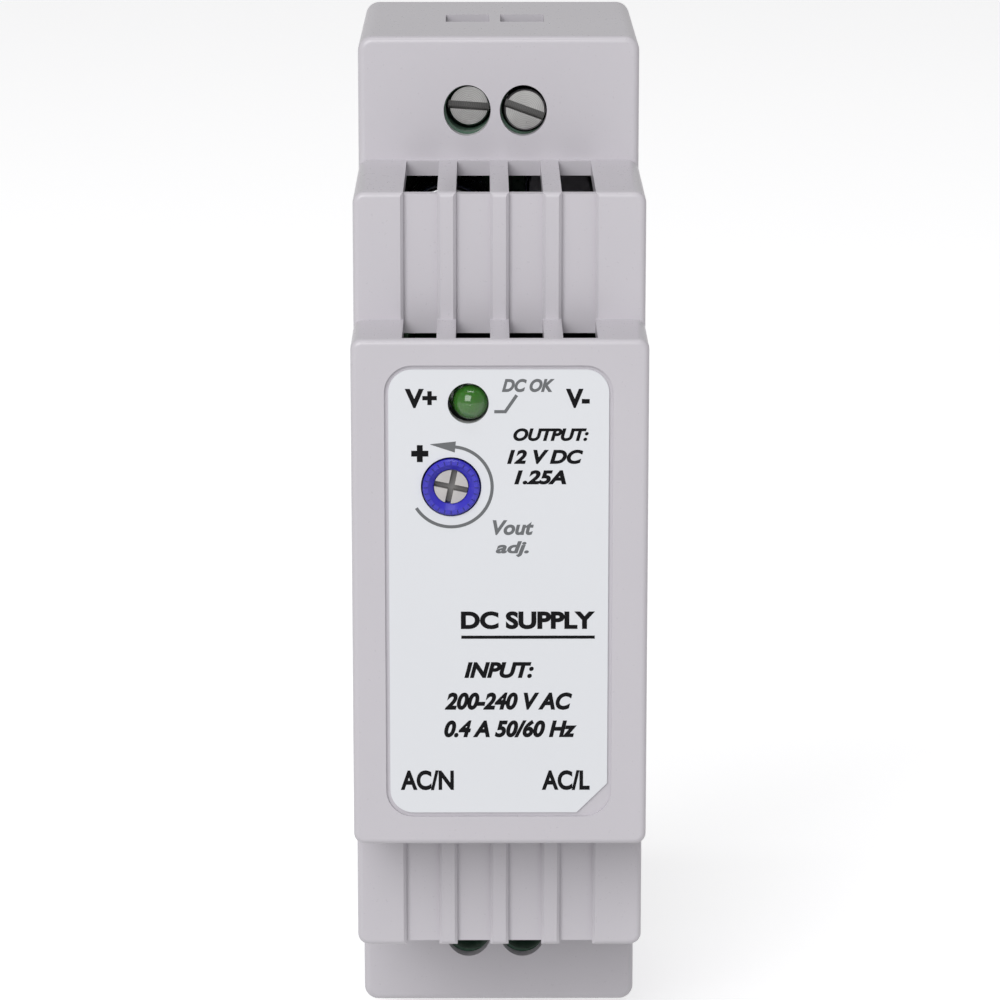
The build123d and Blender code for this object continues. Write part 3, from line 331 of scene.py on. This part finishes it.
HOUSING = Finish("light_grey_housing", (0.575, 0.552, 0.590), (0.560, 0.538, 0.576),
                 (0.25, 0.33), grain_mm=0.28, bump=0.16, bump_depth_mm=0.010, mottle_mm=14,
                 specular=0.5)
BASE = Finish("light_grey_base", (0.545, 0.525, 0.560), (0.530, 0.508, 0.545), (0.45, 0.58),
              grain_mm=0.25, bump=0.25, bump_depth_mm=0.014, mottle_mm=12)
LATCH = Finish("grey_latch", (0.40, 0.39, 0.415), (0.385, 0.372, 0.40), (0.36, 0.46),
               grain_mm=0.3, bump=0.16, bump_depth_mm=0.012)
LABEL = Finish("label_film", (0.755, 0.768, 0.800), (0.747, 0.760, 0.792), (0.34, 0.40),
               grain_mm=0.5, bump=0.06, bump_depth_mm=0.008, mottle_mm=20, specular=0.35)
BLACK_INK = Finish("black_ink", (0.004, 0.004, 0.005), (0.006, 0.006, 0.007), (0.45, 0.55),
                   bump=0.1, bump_depth_mm=0.004, specular=0.08)
GREY_INK = Finish("grey_ink", (0.150, 0.157, 0.165), (0.165, 0.171, 0.178), (0.45, 0.55),
                  bump=0.1, bump_depth_mm=0.004, specular=0.1)
LENS = Finish("green_lens", (0.034, 0.165, 0.010), (0.026, 0.135, 0.008), (0.13, 0.18),
              grain_mm=1.2, bump=0.02, bump_depth_mm=0.004, coat=0.6, subsurface=0.25,
              mottle_mm=3)
TRIMMER_BLUE = Finish("blue_trimmer", (0.042, 0.034, 0.520), (0.032, 0.026, 0.430),
                      (0.26, 0.36), grain_mm=0.25, bump=0.14, bump_depth_mm=0.01, mottle_mm=3,
                      subsurface=0.1)
# the darker blue on the collar's ribs is painted shade between the serrations
COLLAR_RIB_SHADE = Finish("blue_painted_rib_shade", (0.016, 0.013, 0.230), (0.012, 0.010, 0.190), (0.30, 0.40),
                     grain_mm=0.2, bump=0.1, bump_depth_mm=0.006, mottle_mm=2)
# the rotor's cross slot gets painted shade, lighter than a screw slot's
ROTOR = Finish("pale_rotor", (0.56, 0.54, 0.52), (0.48, 0.46, 0.45), (0.38, 0.52),
               grain_mm=0.22, bump=0.35, bump_depth_mm=0.02, mottle_mm=1.5, painted_shade_share=0.42)
TERMINAL = Finish("green_terminal", (0.085, 0.165, 0.115), (0.070, 0.145, 0.098), (0.34, 0.46),
                  grain_mm=0.3, bump=0.15, bump_depth_mm=0.01, mottle_mm=4)
SCREW = Finish("turned_steel", (0.46, 0.455, 0.445), (0.38, 0.375, 0.37), (0.24, 0.36),
               metallic=1.0, grain_mm=0.2, bump=0.25, bump_depth_mm=0.008, mottle_mm=1.6,
               pattern=Pattern.RINGS, pitch_mm=0.16)
STEEL = Finish("plated_steel", (0.52, 0.52, 0.50), (0.44, 0.44, 0.43), (0.22, 0.34),
               metallic=1.0, grain_mm=0.3, bump=0.2, bump_depth_mm=0.01, mottle_mm=2,
               pattern=Pattern.BRUSHED, pitch_mm=0.3)
SPRING = Finish("spring_steel", (0.42, 0.42, 0.41), (0.34, 0.34, 0.33), (0.2, 0.3),
                metallic=1.0, grain_mm=0.15, bump=0.15, bump_depth_mm=0.006, mottle_mm=1)
TIN = Finish("tinned_metal", (0.66, 0.66, 0.64), (0.56, 0.56, 0.55), (0.18, 0.3), metallic=1.0,
             grain_mm=0.4, bump=0.2, bump_depth_mm=0.01, mottle_mm=1.5)
BOARD = Finish("board_green", (0.030, 0.150, 0.045), (0.024, 0.125, 0.036), (0.24, 0.34),
               grain_mm=0.4, bump=0.3, bump_depth_mm=0.03, mottle_mm=6, coat=0.3,
               pattern=Pattern.TRACKS, pitch_mm=4.5)
CAN = Finish("can_aluminium", (0.42, 0.42, 0.43), (0.36, 0.36, 0.37), (0.2, 0.3), metallic=1.0,
             grain_mm=0.2, bump=0.15, bump_depth_mm=0.006, mottle_mm=3, pattern=Pattern.BRUSHED,
             pitch_mm=0.5)
SLEEVE = Finish("dark_sleeve", (0.012, 0.018, 0.045), (0.010, 0.015, 0.036), (0.22, 0.32),
                grain_mm=0.8, bump=0.12, bump_depth_mm=0.015, mottle_mm=5, coat=0.2)
FERRITE = Finish("ferrite", (0.030, 0.030, 0.033), (0.022, 0.022, 0.024), (0.55, 0.7),
                 grain_mm=0.18, bump=0.5, bump_depth_mm=0.02, mottle_mm=3)
BOBBIN = Finish("black_bobbin", (0.015, 0.015, 0.016), (0.011, 0.011, 0.012), (0.38, 0.5),
                bump=0.2)
COPPER_Y = Finish("copper_winding", (0.50, 0.17, 0.05), (0.42, 0.13, 0.035), (0.2, 0.3),
                  metallic=0.7, bump=0.8, bump_depth_mm=0.08, mottle_mm=2,
                  pattern=Pattern.WIRE_Y, pitch_mm=0.35)
COPPER = Finish("copper_wire", (0.52, 0.18, 0.05), (0.44, 0.14, 0.04), (0.18, 0.28),
                metallic=0.8, grain_mm=0.3, bump=0.1, bump_depth_mm=0.01, mottle_mm=1.5,
                coat=0.4)
TAPE = Finish("yellow_tape", (0.72, 0.50, 0.05), (0.66, 0.45, 0.04), (0.22, 0.34), grain_mm=1.2,
              bump=0.2, bump_depth_mm=0.03, mottle_mm=4, coat=0.2)
HEAT_SINK = Finish("black_anodised", (0.030, 0.030, 0.033), (0.022, 0.022, 0.025), (0.34, 0.46),
                   metallic=0.6, bump=0.2, bump_depth_mm=0.01, mottle_mm=4,
                   pattern=Pattern.BRUSHED, pitch_mm=0.4)
EPOXY = Finish("black_epoxy", (0.014, 0.014, 0.015), (0.010, 0.010, 0.011), (0.42, 0.56),
               grain_mm=0.15, bump=0.35, bump_depth_mm=0.012, mottle_mm=3)
YELLOW_BOX = Finish("yellow_box", (0.62, 0.44, 0.05), (0.57, 0.40, 0.04), (0.3, 0.42),
                    bump=0.15)
BLUE_DIP = Finish("blue_dip", (0.030, 0.120, 0.420), (0.024, 0.100, 0.360), (0.26, 0.4),
                  grain_mm=0.9, bump=0.3, bump_depth_mm=0.04, mottle_mm=2)
GREEN_DIP = Finish("green_dip", (0.040, 0.095, 0.050), (0.032, 0.078, 0.040), (0.3, 0.44),
                   grain_mm=0.9, bump=0.3, bump_depth_mm=0.04, mottle_mm=2)
LACQUER = Finish("blue_lacquer", (0.18, 0.33, 0.42), (0.16, 0.29, 0.37), (0.22, 0.34),
                 grain_mm=0.8, bump=0.15, bump_depth_mm=0.02, mottle_mm=2)
SHEET = Finish("insulating_sheet", (0.70, 0.68, 0.60), (0.64, 0.62, 0.55), (0.5, 0.65),
               bump=0.3, bump_depth_mm=0.01, mottle_mm=3, pattern=Pattern.FIBRES, pitch_mm=0.8)
FLOOR = Finish("pale_floor", (0.90, 0.90, 0.905), (0.895, 0.895, 0.90), (0.6, 0.7), grain_mm=2,
               bump=0.02, mottle_mm=120, specular=0.1, emission=0.55)


@dataclass
class CarriedOver:
    """Nodes of the frame that keep their own mesh and get a finish."""

    finishes: dict[str, Finish] = field(default_factory=lambda: {
        "front_cover": HOUSING,
        "rear_base": BASE,
        "rail_latch": LATCH,
        "latch_spring": SPRING,
        "rating_label": LABEL,
        "status_led": LENS,
        "trimmer_body": TRIMMER_BLUE,
        "main_board": BOARD,
        "control_board": BOARD,
        "link_header": BOBBIN,
        "transformer_bobbin": BOBBIN,
        "transformer_core_front": FERRITE,
        "transformer_core_rear": FERRITE,
        "transformer_winding": COPPER_Y,
        "transformer_tape": TAPE,
        "choke_core": FERRITE,
        "output_choke_core": FERRITE,
        "rectifier_heat_sink": HEAT_SINK,
        "output_rectifier": EPOXY,
        "bridge_rectifier": EPOXY,
        "switching_controller": EPOXY,
        "optocoupler": EPOXY,
        "snubber_diode": EPOXY,
        "input_fuse": EPOXY,
        "filter_capacitor": YELLOW_BOX,
        "safety_capacitor": BLUE_DIP,
        "varistor": BLUE_DIP,
        "inrush_thermistor": GREEN_DIP,
        "snubber_resistor": LACQUER,
        "insulating_sheet": SHEET,
        "heat_sink_screw": STEEL,
    })
    slotted: dict[str, Finish] = field(default_factory=lambda: {"trimmer_rotor": ROTOR})
    endings: dict[str, Finish] = field(default_factory=lambda: {
        "_terminal_block": TERMINAL,
        "_contact": TIN,
        "_leads": TIN,
        "_legs": TIN,
        "_pins": TIN,
        "_contacts": TIN,
        "_clamp": STEEL,
        "_capacitor": CAN,
        "_sleeve": SLEEVE,
        "_coil": COPPER,
    })

    def dress(self) -> None:
        """Gives every node its finish; a screw's finish turns about its own axis."""
        made: dict[str, bpy.types.Material] = {}
        for name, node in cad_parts.items():
            if name in self.slotted or (name.endswith("_screw") and name not in self.finishes):
                low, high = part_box(name)
                finish = self.slotted.get(name, SCREW)
                # screw slots and the rotor's cross slot get painted shade behind the front face
                material = finish.build((Vector(low) + Vector(high)) / 2, "_" + name, low[1])
            else:
                finish = self.finish_of(name)
                if finish.name not in made:
                    made[finish.name] = finish.build()
                material = made[finish.name]
            node.data.materials.clear()
            node.data.materials.append(material)
            LOG.info("%s dressed in %s", name, material.name)

    def finish_of(self, name: str) -> Finish:
        """Finds the finish for a node.

        Args:
            name: the node's name.

        Returns:
            The finish listed for its own name, or for its ending, or else bare winding wire.
        """
        if name in self.finishes:
            return self.finishes[name]
        for ending, finish in self.endings.items():
            if name.endswith(ending):
                return finish
        return COPPER


def piece(name: str, shape: bmesh.types.BMesh, finish: Finish,
          body: str) -> bpy.types.Object:
    """Makes a new piece that rides on a body.

    Args:
        name: the piece's name.
        shape: its finished mesh, in the frame's metres; it is freed.
        finish: what its surface is.
        body: the body that carries it.

    Returns:
        The new object.
    """
    mesh = bpy.data.meshes.new(name)
    shape.to_mesh(mesh)
    shape.free()
    mesh.materials.append(finish.build(suffix="_" + name))
    thing = bpy.data.objects.new(name, mesh)
    bpy.context.collection.objects.link(thing)
    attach(thing, body)
    LOG.info("%s made with %d faces", name, len(mesh.polygons))
    return thing


def centre_of(name: str) -> Vector:
    """Finds a node's middle.

    Args:
        name: the node's name.

    Returns:
        The middle of its box.
    """
    low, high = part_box(name)
    return (Vector(low) + Vector(high)) / 2


@dataclass(frozen=True)
class Mark:
    """A word printed on the label, by the box it fills, in millimetres across and up."""

    text: str
    left: float
    right: float
    bottom: float
    top: float
    ink: Ink = Ink.BLACK
    slant: float = 0.0
    weight: float = 0.045


@dataclass
class LabelPrint:
    """Words, leader line and turning arrow printed on the label."""

    film_mm: float = 0.012
    line_mm: float = 0.27
    marks: tuple[Mark, ...] = (
        Mark("V+", -7.96, -5.28, 17.16, 18.80, weight=0.045),
        Mark("V-", 5.52, 7.52, 17.16, 18.80, weight=0.045),
        Mark("DC OK", 0.16, 4.59, 18.52, 19.65, Ink.GREY, 0.3),
        Mark("OUTPUT:", 1.12, 7.45, 14.33, 15.43, slant=0.25),
        Mark("12 V DC", 0.6, 7.0, 12.36, 13.59, slant=0.25),
        Mark("1.25A", 1.2, 5.58, 10.60, 11.83, slant=0.25),
        Mark("+", -7.44, -6.00, 12.53, 13.99, weight=0.06),
        Mark("Vout", -0.60, 2.86, 6.23, 7.52, Ink.GREY, 0.25, 0.035),
        Mark("adj.", -0.35, 2.44, 4.32, 5.70, Ink.GREY, 0.25, 0.035),
        Mark("DC SUPPLY", -3.30, 8.05, -1.96, -0.40, weight=0.045),
        Mark("INPUT:", -3.02, 2.88, -6.25, -4.85, slant=0.25),
        Mark("200-240 V AC", -4.69, 6.15, -9.05, -7.52, slant=0.25),
        Mark("0.4 A 50/60 Hz", -4.74, 6.55, -11.48, -9.94, slant=0.25),
        Mark("AC/N", -8.47, -3.93, -16.16, -14.40, weight=0.035),
        Mark("AC/L", 3.58, 7.67, -16.16, -14.40, weight=0.035),
    )
    arrow_radius_mm: float = 3.45
    arrow_start_deg: float = -148.0
    arrow_end_deg: float = 84.0
    arrow_head_mm: float = 2.1
    arrow_head_width_mm: float = 0.95
    arrow_steps: int = 48
    arrow_tip: float = 0.04       # width of the tip as a share of the head's
    leader: tuple[tuple[float, float], ...] = ((-0.47, 16.85), (0.45, 16.85), (1.41, 18.26))
    underline: tuple[tuple[float, float], ...] = ((-3.27, -2.66), (8.04, -2.66))

    def __post_init__(self) -> None:
        """Finds the label's front face."""
        self.face_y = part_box("rating_label")[0][1]

    def build(self) -> None:
        """Makes one piece for each ink."""
        for ink, finish in ((Ink.BLACK, BLACK_INK), (Ink.GREY, GREY_INK)):
            shape = bmesh.new()
            for mark in self.marks:
                if mark.ink is ink:
                    self.add_word(shape, mark)
            if ink is Ink.GREY:
                self.add_line(shape, self.leader)
                self.add_arrow(shape)
            else:
                self.add_line(shape, self.underline)
            bmesh.ops.recalc_face_normals(shape, faces=shape.faces)
            piece("label_print_" + ink.value, shape, finish, "case")

    def add_word(self, shape: bmesh.types.BMesh, mark: Mark) -> None:
        """Adds one word, fitted to its box.

        Args:
            shape: mesh that takes the word.
            mark: the word and its box.
        """
        curve = bpy.data.curves.new("word", "FONT")
        curve.body = mark.text
        curve.shear = mark.slant
        curve.offset = mark.weight
        curve.extrude = WORD_DEPTH
        curve.resolution_u = WORD_STEPS
        writer = bpy.data.objects.new("word", curve)
        bpy.context.collection.objects.link(writer)
        bpy.context.view_layer.update()
        graph = bpy.context.evaluated_depsgraph_get()
        flat = bpy.data.meshes.new_from_object(writer.evaluated_get(graph))
        bpy.data.objects.remove(writer)
        word = bmesh.new()
        word.from_mesh(flat)
        bpy.data.meshes.remove(flat)
        bmesh.ops.remove_doubles(word, verts=word.verts, dist=WORD_WELD)
        xs = [vert.co.x for vert in word.verts]
        ys = [vert.co.y for vert in word.verts]
        across = (mark.right - mark.left) / (max(xs) - min(xs))
        up = (mark.top - mark.bottom) / (max(ys) - min(ys))
        for vert in word.verts:
            x = mark.left + (vert.co.x - min(xs)) * across
            z = mark.bottom + (vert.co.y - min(ys)) * up
            y = -self.film_mm if vert.co.z > 0 else 0.0
            vert.co = Vector((x * MM, self.face_y + y * MM, z * MM))
        self.merge(shape, word)

    def merge(self, shape: bmesh.types.BMesh, added: bmesh.types.BMesh) -> None:
        """Moves one mesh into another.

        Args:
            shape: mesh that takes the other.
            added: mesh that is moved, and freed.
        """
        carrier = bpy.data.meshes.new("carrier")
        added.to_mesh(carrier)
        added.free()
        shape.from_mesh(carrier)
        bpy.data.meshes.remove(carrier)

    def add_line(self, shape: bmesh.types.BMesh, points: tuple[tuple[float, float], ...]) -> None:
        """Adds a mitred line of the print's width.

        Args:
            shape: mesh that takes the line.
            points: the points it runs through, in millimetres across and up.
        """
        path = [Vector(point) for point in points]
        edges = []
        for i, point in enumerate(path):
            before = (point - path[i - 1]).normalized() if i else (path[1] - point).normalized()
            after = (path[i + 1] - point).normalized() if i + 1 < len(path) else before
            along = (before + after).normalized()
            mitre = max(SHARPEST_MITRE, along.dot(before))
            side = Vector((-along.y, along.x)) * self.line_mm / 2 / mitre
            edges.append((point + side, point - side))
        self.add_ribbon(shape, edges)

    def add_ribbon(self, shape: bmesh.types.BMesh, edges: list[tuple[Vector, Vector]]) -> None:
        """Adds a closed flat ribbon.

        Args:
            shape: mesh that takes the ribbon.
            edges: pairs of points along it, one on each side, in millimetres.
        """
        ribbon = bmesh.new()
        rows = []
        for pair in edges:
            rows.append([ribbon.verts.new((p.x * MM, self.face_y, p.y * MM)) for p in pair])
        for low, high in zip(rows, rows[1:]):
            ribbon.faces.new((low[0], low[1], high[1], high[0]))
        grown = bmesh.ops.extrude_face_region(ribbon, geom=ribbon.faces[:])
        lifted = [item for item in grown["geom"] if isinstance(item, bmesh.types.BMVert)]
        bmesh.ops.translate(ribbon, verts=lifted, vec=(0, -self.film_mm * MM, 0))
        self.merge(shape, ribbon)

    def add_arrow(self, shape: bmesh.types.BMesh) -> None:
        """Adds the arc round the adjuster and its arrow head.

        Args:
            shape: mesh that takes the arrow.
        """
        centre = centre_of("trimmer_rotor") / MM
        middle = Vector((centre.x, centre.z))
        sweep = self.arrow_end_deg - self.arrow_start_deg
        edges = []
        for i in range(self.arrow_steps + 1):
            angle = math.radians(self.arrow_start_deg + sweep * i / self.arrow_steps)
            ray = Vector((math.cos(angle), math.sin(angle)))
            half = self.line_mm / 2
            edges.append((middle + ray * (self.arrow_radius_mm + half),
                          middle + ray * (self.arrow_radius_mm - half)))
        self.add_ribbon(shape, edges)
        ray = Vector((math.cos(angle), math.sin(angle)))
        ahead = Vector((-ray.y, ray.x))
        base = middle + ray * self.arrow_radius_mm
        tip = base + ahead * self.arrow_head_mm
        wing = ray * self.arrow_head_width_mm / 2
        point = wing * self.arrow_tip
        self.add_ribbon(shape, [(base + wing, base - wing), (tip + point, tip - point)])


@dataclass
class Adjuster:
    """Fine ribs moulded round the adjuster's collar."""

    ribs: int = 24
    inner_mm: float = 1.96
    outer_mm: float = 2.30
    width_mm: float = 0.09
    rise_mm: float = 0.04
    edge_mm: float = 0.02

    def build(self) -> None:
        """Makes the ring of ribs on the collar's front."""
        centre = centre_of("trimmer_rotor")
        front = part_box("trimmer_body")[0][1]
        shape = bmesh.new()
        for i in range(self.ribs):
            made = bmesh.ops.create_cube(shape, size=1.0)["verts"]
            length = self.outer_mm - self.inner_mm
            bmesh.ops.scale(shape, verts=made,
                            vec=(length * MM, 2 * self.rise_mm * MM, self.width_mm * MM))
            bmesh.ops.translate(shape, verts=made, vec=((self.inner_mm + length / 2) * MM, 0, 0))
            turn = Matrix.Rotation(FULL_TURN * i / self.ribs, 3, "Y")
            bmesh.ops.rotate(shape, verts=made, cent=(0, 0, 0), matrix=turn)
        bmesh.ops.translate(shape, verts=shape.verts, vec=(centre.x, front, centre.z))
        bmesh.ops.bevel(shape, geom=shape.edges[:], offset=self.edge_mm * MM, affect="EDGES",
                        segments=1, profile=0.5, material=-1)
        # the ribs are coloured darker blue as painted shade
        piece("adjuster_collar_ribs", shape, COLLAR_RIB_SHADE, "case")


@dataclass
class ChokeWindings:
    """Separate turns of wire on the ring core and on the drum core."""

    wire_mm: float = 0.62
    drum_wire_mm: float = 0.42
    turns: int = 11
    starts_deg: tuple[float, float] = (30.0, 210.0)
    lead_deg: float = 2.0
    spread_deg: float = 118.0
    clearance_mm: float = 0.05
    section_mm: float = 2.8       # width of the ring core's section
    squareness: int = 5           # power of the rounded square that a turn follows
    wire_sides: int = 8
    turn_steps: int = 32
    drum_steps: int = 28

    def build(self) -> None:
        """Makes both coils of the ring core and the drum's coil."""
        low, high = (Vector(corner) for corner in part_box("choke_core"))
        middle = (low + high) / 2
        outer = (high.x - low.x) / 2
        depth = (high.z - low.z) / 2
        inner = outer - self.section_mm * MM
        for index, start in enumerate(self.starts_deg):
            shape = bmesh.new()
            for turn in range(self.turns):
                sweep = (self.spread_deg - self.lead_deg) * turn / (self.turns - 1)
                angle = math.radians(start + self.lead_deg + sweep)
                self.add_turn(shape, (outer - inner) / 2, depth, Matrix.Translation(middle)
                              @ Matrix.Rotation(angle, 4, "Z")
                              @ Matrix.Translation(((outer + inner) / 2, 0, 0)))
            name = f"choke_turns_{index + 1}"
            coil = piece(name, shape, COPPER, "case")
            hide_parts(f"choke_coil_{index + 1}")
        self.build_drum_coil()

    def add_turn(self, shape: bmesh.types.BMesh, half_x: float, half_z: float,
                 place: Matrix) -> None:
        """Adds one turn of wire round a rectangular section.

        Args:
            shape: mesh that takes the turn.
            half_x: half the section's width, in metres.
            half_z: half its height.
            place: where the section's middle goes, and how it is turned.
        """
        radius = self.wire_mm * MM / 2
        reach = radius + self.clearance_mm * MM
        ring = bmesh.ops.create_circle(shape, cap_ends=False, segments=self.wire_sides,
                                       radius=radius)["verts"]
        bmesh.ops.rotate(shape, verts=ring, cent=(0, 0, 0),
                         matrix=Matrix.Rotation(FULL_TURN / 4, 3, "X"))
        bmesh.ops.translate(shape, verts=ring, vec=(1.0, 0, 0))
        edges = list({edge for vert in ring for edge in vert.link_edges})
        before = set(shape.verts)
        bmesh.ops.spin(shape, geom=ring + edges, cent=(0, 0, 0), axis=(0, 1, 0), angle=FULL_TURN,
                       steps=self.turn_steps, use_merge=True, dvec=(0, 0, 0))
        loop = ring + [vert for vert in shape.verts if vert not in before]
        for vert in loop:
            ray = Vector((vert.co.x, 0, vert.co.z))
            off = ray.length - 1.0
            ray.normalize()
            power = self.squareness
            corner = (abs(ray.x) ** power + abs(ray.z) ** power) ** (-1 / power)
            path = Vector((ray.x * corner * (half_x + reach), vert.co.y,
                           ray.z * corner * (half_z + reach)))
            vert.co = place @ (path + ray * off)

    def build_drum_coil(self) -> None:
        """Makes the drum core's coil: a stack of rings between the flanges."""
        low, high = (Vector(corner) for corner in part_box("output_choke_coil"))
        middle = (low + high) / 2
        radius = self.drum_wire_mm / 2 * MM
        ring_radius = (high.x - low.x) / 2 - radius
        rows = int((high.y - low.y) / (2 * radius))
        shape = bmesh.new()
        for row in range(rows):
            before = set(shape.verts)
            ring = bmesh.ops.create_circle(shape, cap_ends=False, segments=self.wire_sides,
                                           radius=radius)["verts"]
            bmesh.ops.translate(shape, verts=ring, vec=(ring_radius, 0, 0))
            edges = list({edge for vert in ring for edge in vert.link_edges})
            bmesh.ops.spin(shape, geom=ring + edges, cent=(0, 0, 0), axis=(0, 1, 0),
                           angle=FULL_TURN, steps=self.drum_steps, use_merge=True,
                           dvec=(0, 0, 0))
            made = [vert for vert in shape.verts if vert not in before]
            y = low.y + (row + 0.5) * (high.y - low.y) / rows
            bmesh.ops.translate(shape, verts=made, vec=(middle.x, y, middle.z))
        bmesh.ops.recalc_face_normals(shape, faces=shape.faces)
        coil = piece("output_choke_turns", shape, COPPER, "case")
        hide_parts("output_choke_coil")


@dataclass
class LatchSpring:
    """The latch's spring: a coil carried by the latch."""

    wire_mm: float = 0.32
    turns: int = 9
    steps: int = 28
    sides: int = 8
    travel_mm: float = 3.0

    def build(self) -> None:
        """Makes the spring as a closed tube along a helix."""
        low, high = (Vector(corner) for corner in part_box("latch_spring"))
        middle = (low + high) / 2
        wire = self.wire_mm * MM / 2
        radius = (high.x - low.x) / 2 - wire
        rise = high.z - low.z - 2 * wire
        shape = bmesh.new()
        rows = []
        total = self.turns * self.steps
        for i in range(total + 1):
            angle = FULL_TURN * i / self.steps
            ray = Vector((math.cos(angle), math.sin(angle), 0))
            place = Vector((middle.x, middle.y, low.z + wire + rise * i / total)) + ray * radius
            rows.append([
                shape.verts.new(place + ray * (wire * math.cos(FULL_TURN * k / self.sides))
                                + Vector((0, 0, wire * math.sin(FULL_TURN * k / self.sides))))
                for k in range(self.sides)
            ])
        for near, far in zip(rows, rows[1:]):
            for k in range(self.sides):
                after = (k + 1) % self.sides
                shape.faces.new((near[k], near[after], far[after], far[k]))
        shape.faces.new(rows[0])
        shape.faces.new(rows[-1])
        bmesh.ops.recalc_face_normals(shape, faces=shape.faces)
        spring = piece("latch_spring_coil", shape, SPRING, "latch")
        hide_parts("latch_spring")
        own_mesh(spring)


@dataclass(frozen=True)
class Lamp:
    """A soft rectangular light that faces the object, in metres and watts."""

    name: str
    place: tuple[float, float, float]
    size: tuple[float, float]
    power: float


@dataclass
class Studio:
    """Pale floor, soft lights and the camera."""

    lens_mm: float = 154.2
    sensor_mm: float = 36.0
    camera_mm: tuple[float, float, float] = (-1.4, -402.1, 89.7)
    pitch_deg: float = 12.90
    yaw_deg: float = 0.23
    clip: tuple[float, float] = (0.01, 50.0)
    lamps: tuple[Lamp, ...] = (
        Lamp("key_light", (-0.40, -1.10, 0.72), (0.9, 0.9), 11.8),
        Lamp("edge_light", (0.0, -0.27, 1.0), (0.6, 0.08), 1.4),
    )
    floor_size: float = 6.0
    floor_gap_mm: float = 0.1
    below: float = 0.52
    level: float = 0.60
    overhead: float = 0.22

    def build(self) -> None:
        """Makes the studio."""
        self.build_floor()
        for lamp in self.lamps:
            self.add_light(lamp)
        self.build_world()
        self.build_camera()
        bpy.context.scene.view_settings.view_transform = "Standard"

    def build_floor(self) -> None:
        """Makes a wide pale floor just below the pull tab."""
        shape = bmesh.new()
        bmesh.ops.create_grid(shape, x_segments=2, y_segments=2, size=self.floor_size / 2)
        bmesh.ops.translate(shape, verts=shape.verts,
                            vec=(0, 0, CAD_BOX[0][2] - self.floor_gap_mm * MM))
        mesh = bpy.data.meshes.new("floor")
        shape.to_mesh(mesh)
        shape.free()
        mesh.materials.append(FLOOR.build())
        floor = bpy.data.objects.new("floor", mesh)
        bpy.context.collection.objects.link(floor)
        floor.visible_diffuse = False

    def add_light(self, lamp: Lamp) -> None:
        """Adds one light.

        Args:
            lamp: its name, place, size and power.
        """
        data = bpy.data.lights.new(lamp.name, "AREA")
        data.shape = "RECTANGLE"
        data.size, data.size_y = lamp.size
        data.energy = lamp.power
        light = bpy.data.objects.new(lamp.name, data)
        light.location = lamp.place
        light.rotation_mode = "QUATERNION"
        light.rotation_quaternion = (-Vector(lamp.place)).to_track_quat("-Z", "Y")
        bpy.context.collection.objects.link(light)

    def build_world(self) -> None:
        """Makes a near-white surround, a little darker overhead and underneath."""
        world = bpy.data.worlds.new("studio")
        world.use_nodes = True
        tree = world.node_tree
        coordinates = tree.nodes.new("ShaderNodeTexCoord")
        parts = tree.nodes.new("ShaderNodeSeparateXYZ")
        tree.links.new(coordinates.outputs["Generated"], parts.inputs["Vector"])
        height = tree.nodes.new("ShaderNodeMapRange")
        height.inputs["From Min"].default_value = -1.0
        tree.links.new(parts.outputs["Z"], height.inputs["Value"])
        ramp = tree.nodes.new("ShaderNodeValToRGB")
        ramp.color_ramp.elements[0].color = (*[self.below] * 3, 1)
        ramp.color_ramp.elements[1].color = (*[self.overhead] * 3, 1)
        ramp.color_ramp.elements.new(0.5).color = (*[self.level] * 3, 1)
        tree.links.new(height.outputs["Result"], ramp.inputs["Fac"])
        tree.links.new(ramp.outputs["Color"], tree.nodes["Background"].inputs["Color"])
        bpy.context.scene.world = world

    def build_camera(self) -> None:
        """Makes a long-lens camera in front of the object and a little above it."""
        data = bpy.data.cameras.new("camera")
        data.lens = self.lens_mm
        data.sensor_width = self.sensor_mm
        data.clip_start, data.clip_end = self.clip
        camera = bpy.data.objects.new("camera", data)
        camera.location = Vector(self.camera_mm) * MM
        camera.rotation_euler = (math.radians(90 - self.pitch_deg), 0, math.radians(-self.yaw_deg))
        bpy.context.collection.objects.link(camera)
        bpy.context.scene.camera = camera


def main() -> None:
    """Builds the sub-assemblies in order."""
    logging.basicConfig(level=logging.INFO, format="%(message)s")
    Studio().build()
    CarriedOver().dress()
    LabelPrint().build()
    Adjuster().build()
    ChokeWindings().build()
    LatchSpring().build()


if __name__ == "__main__":
    main()
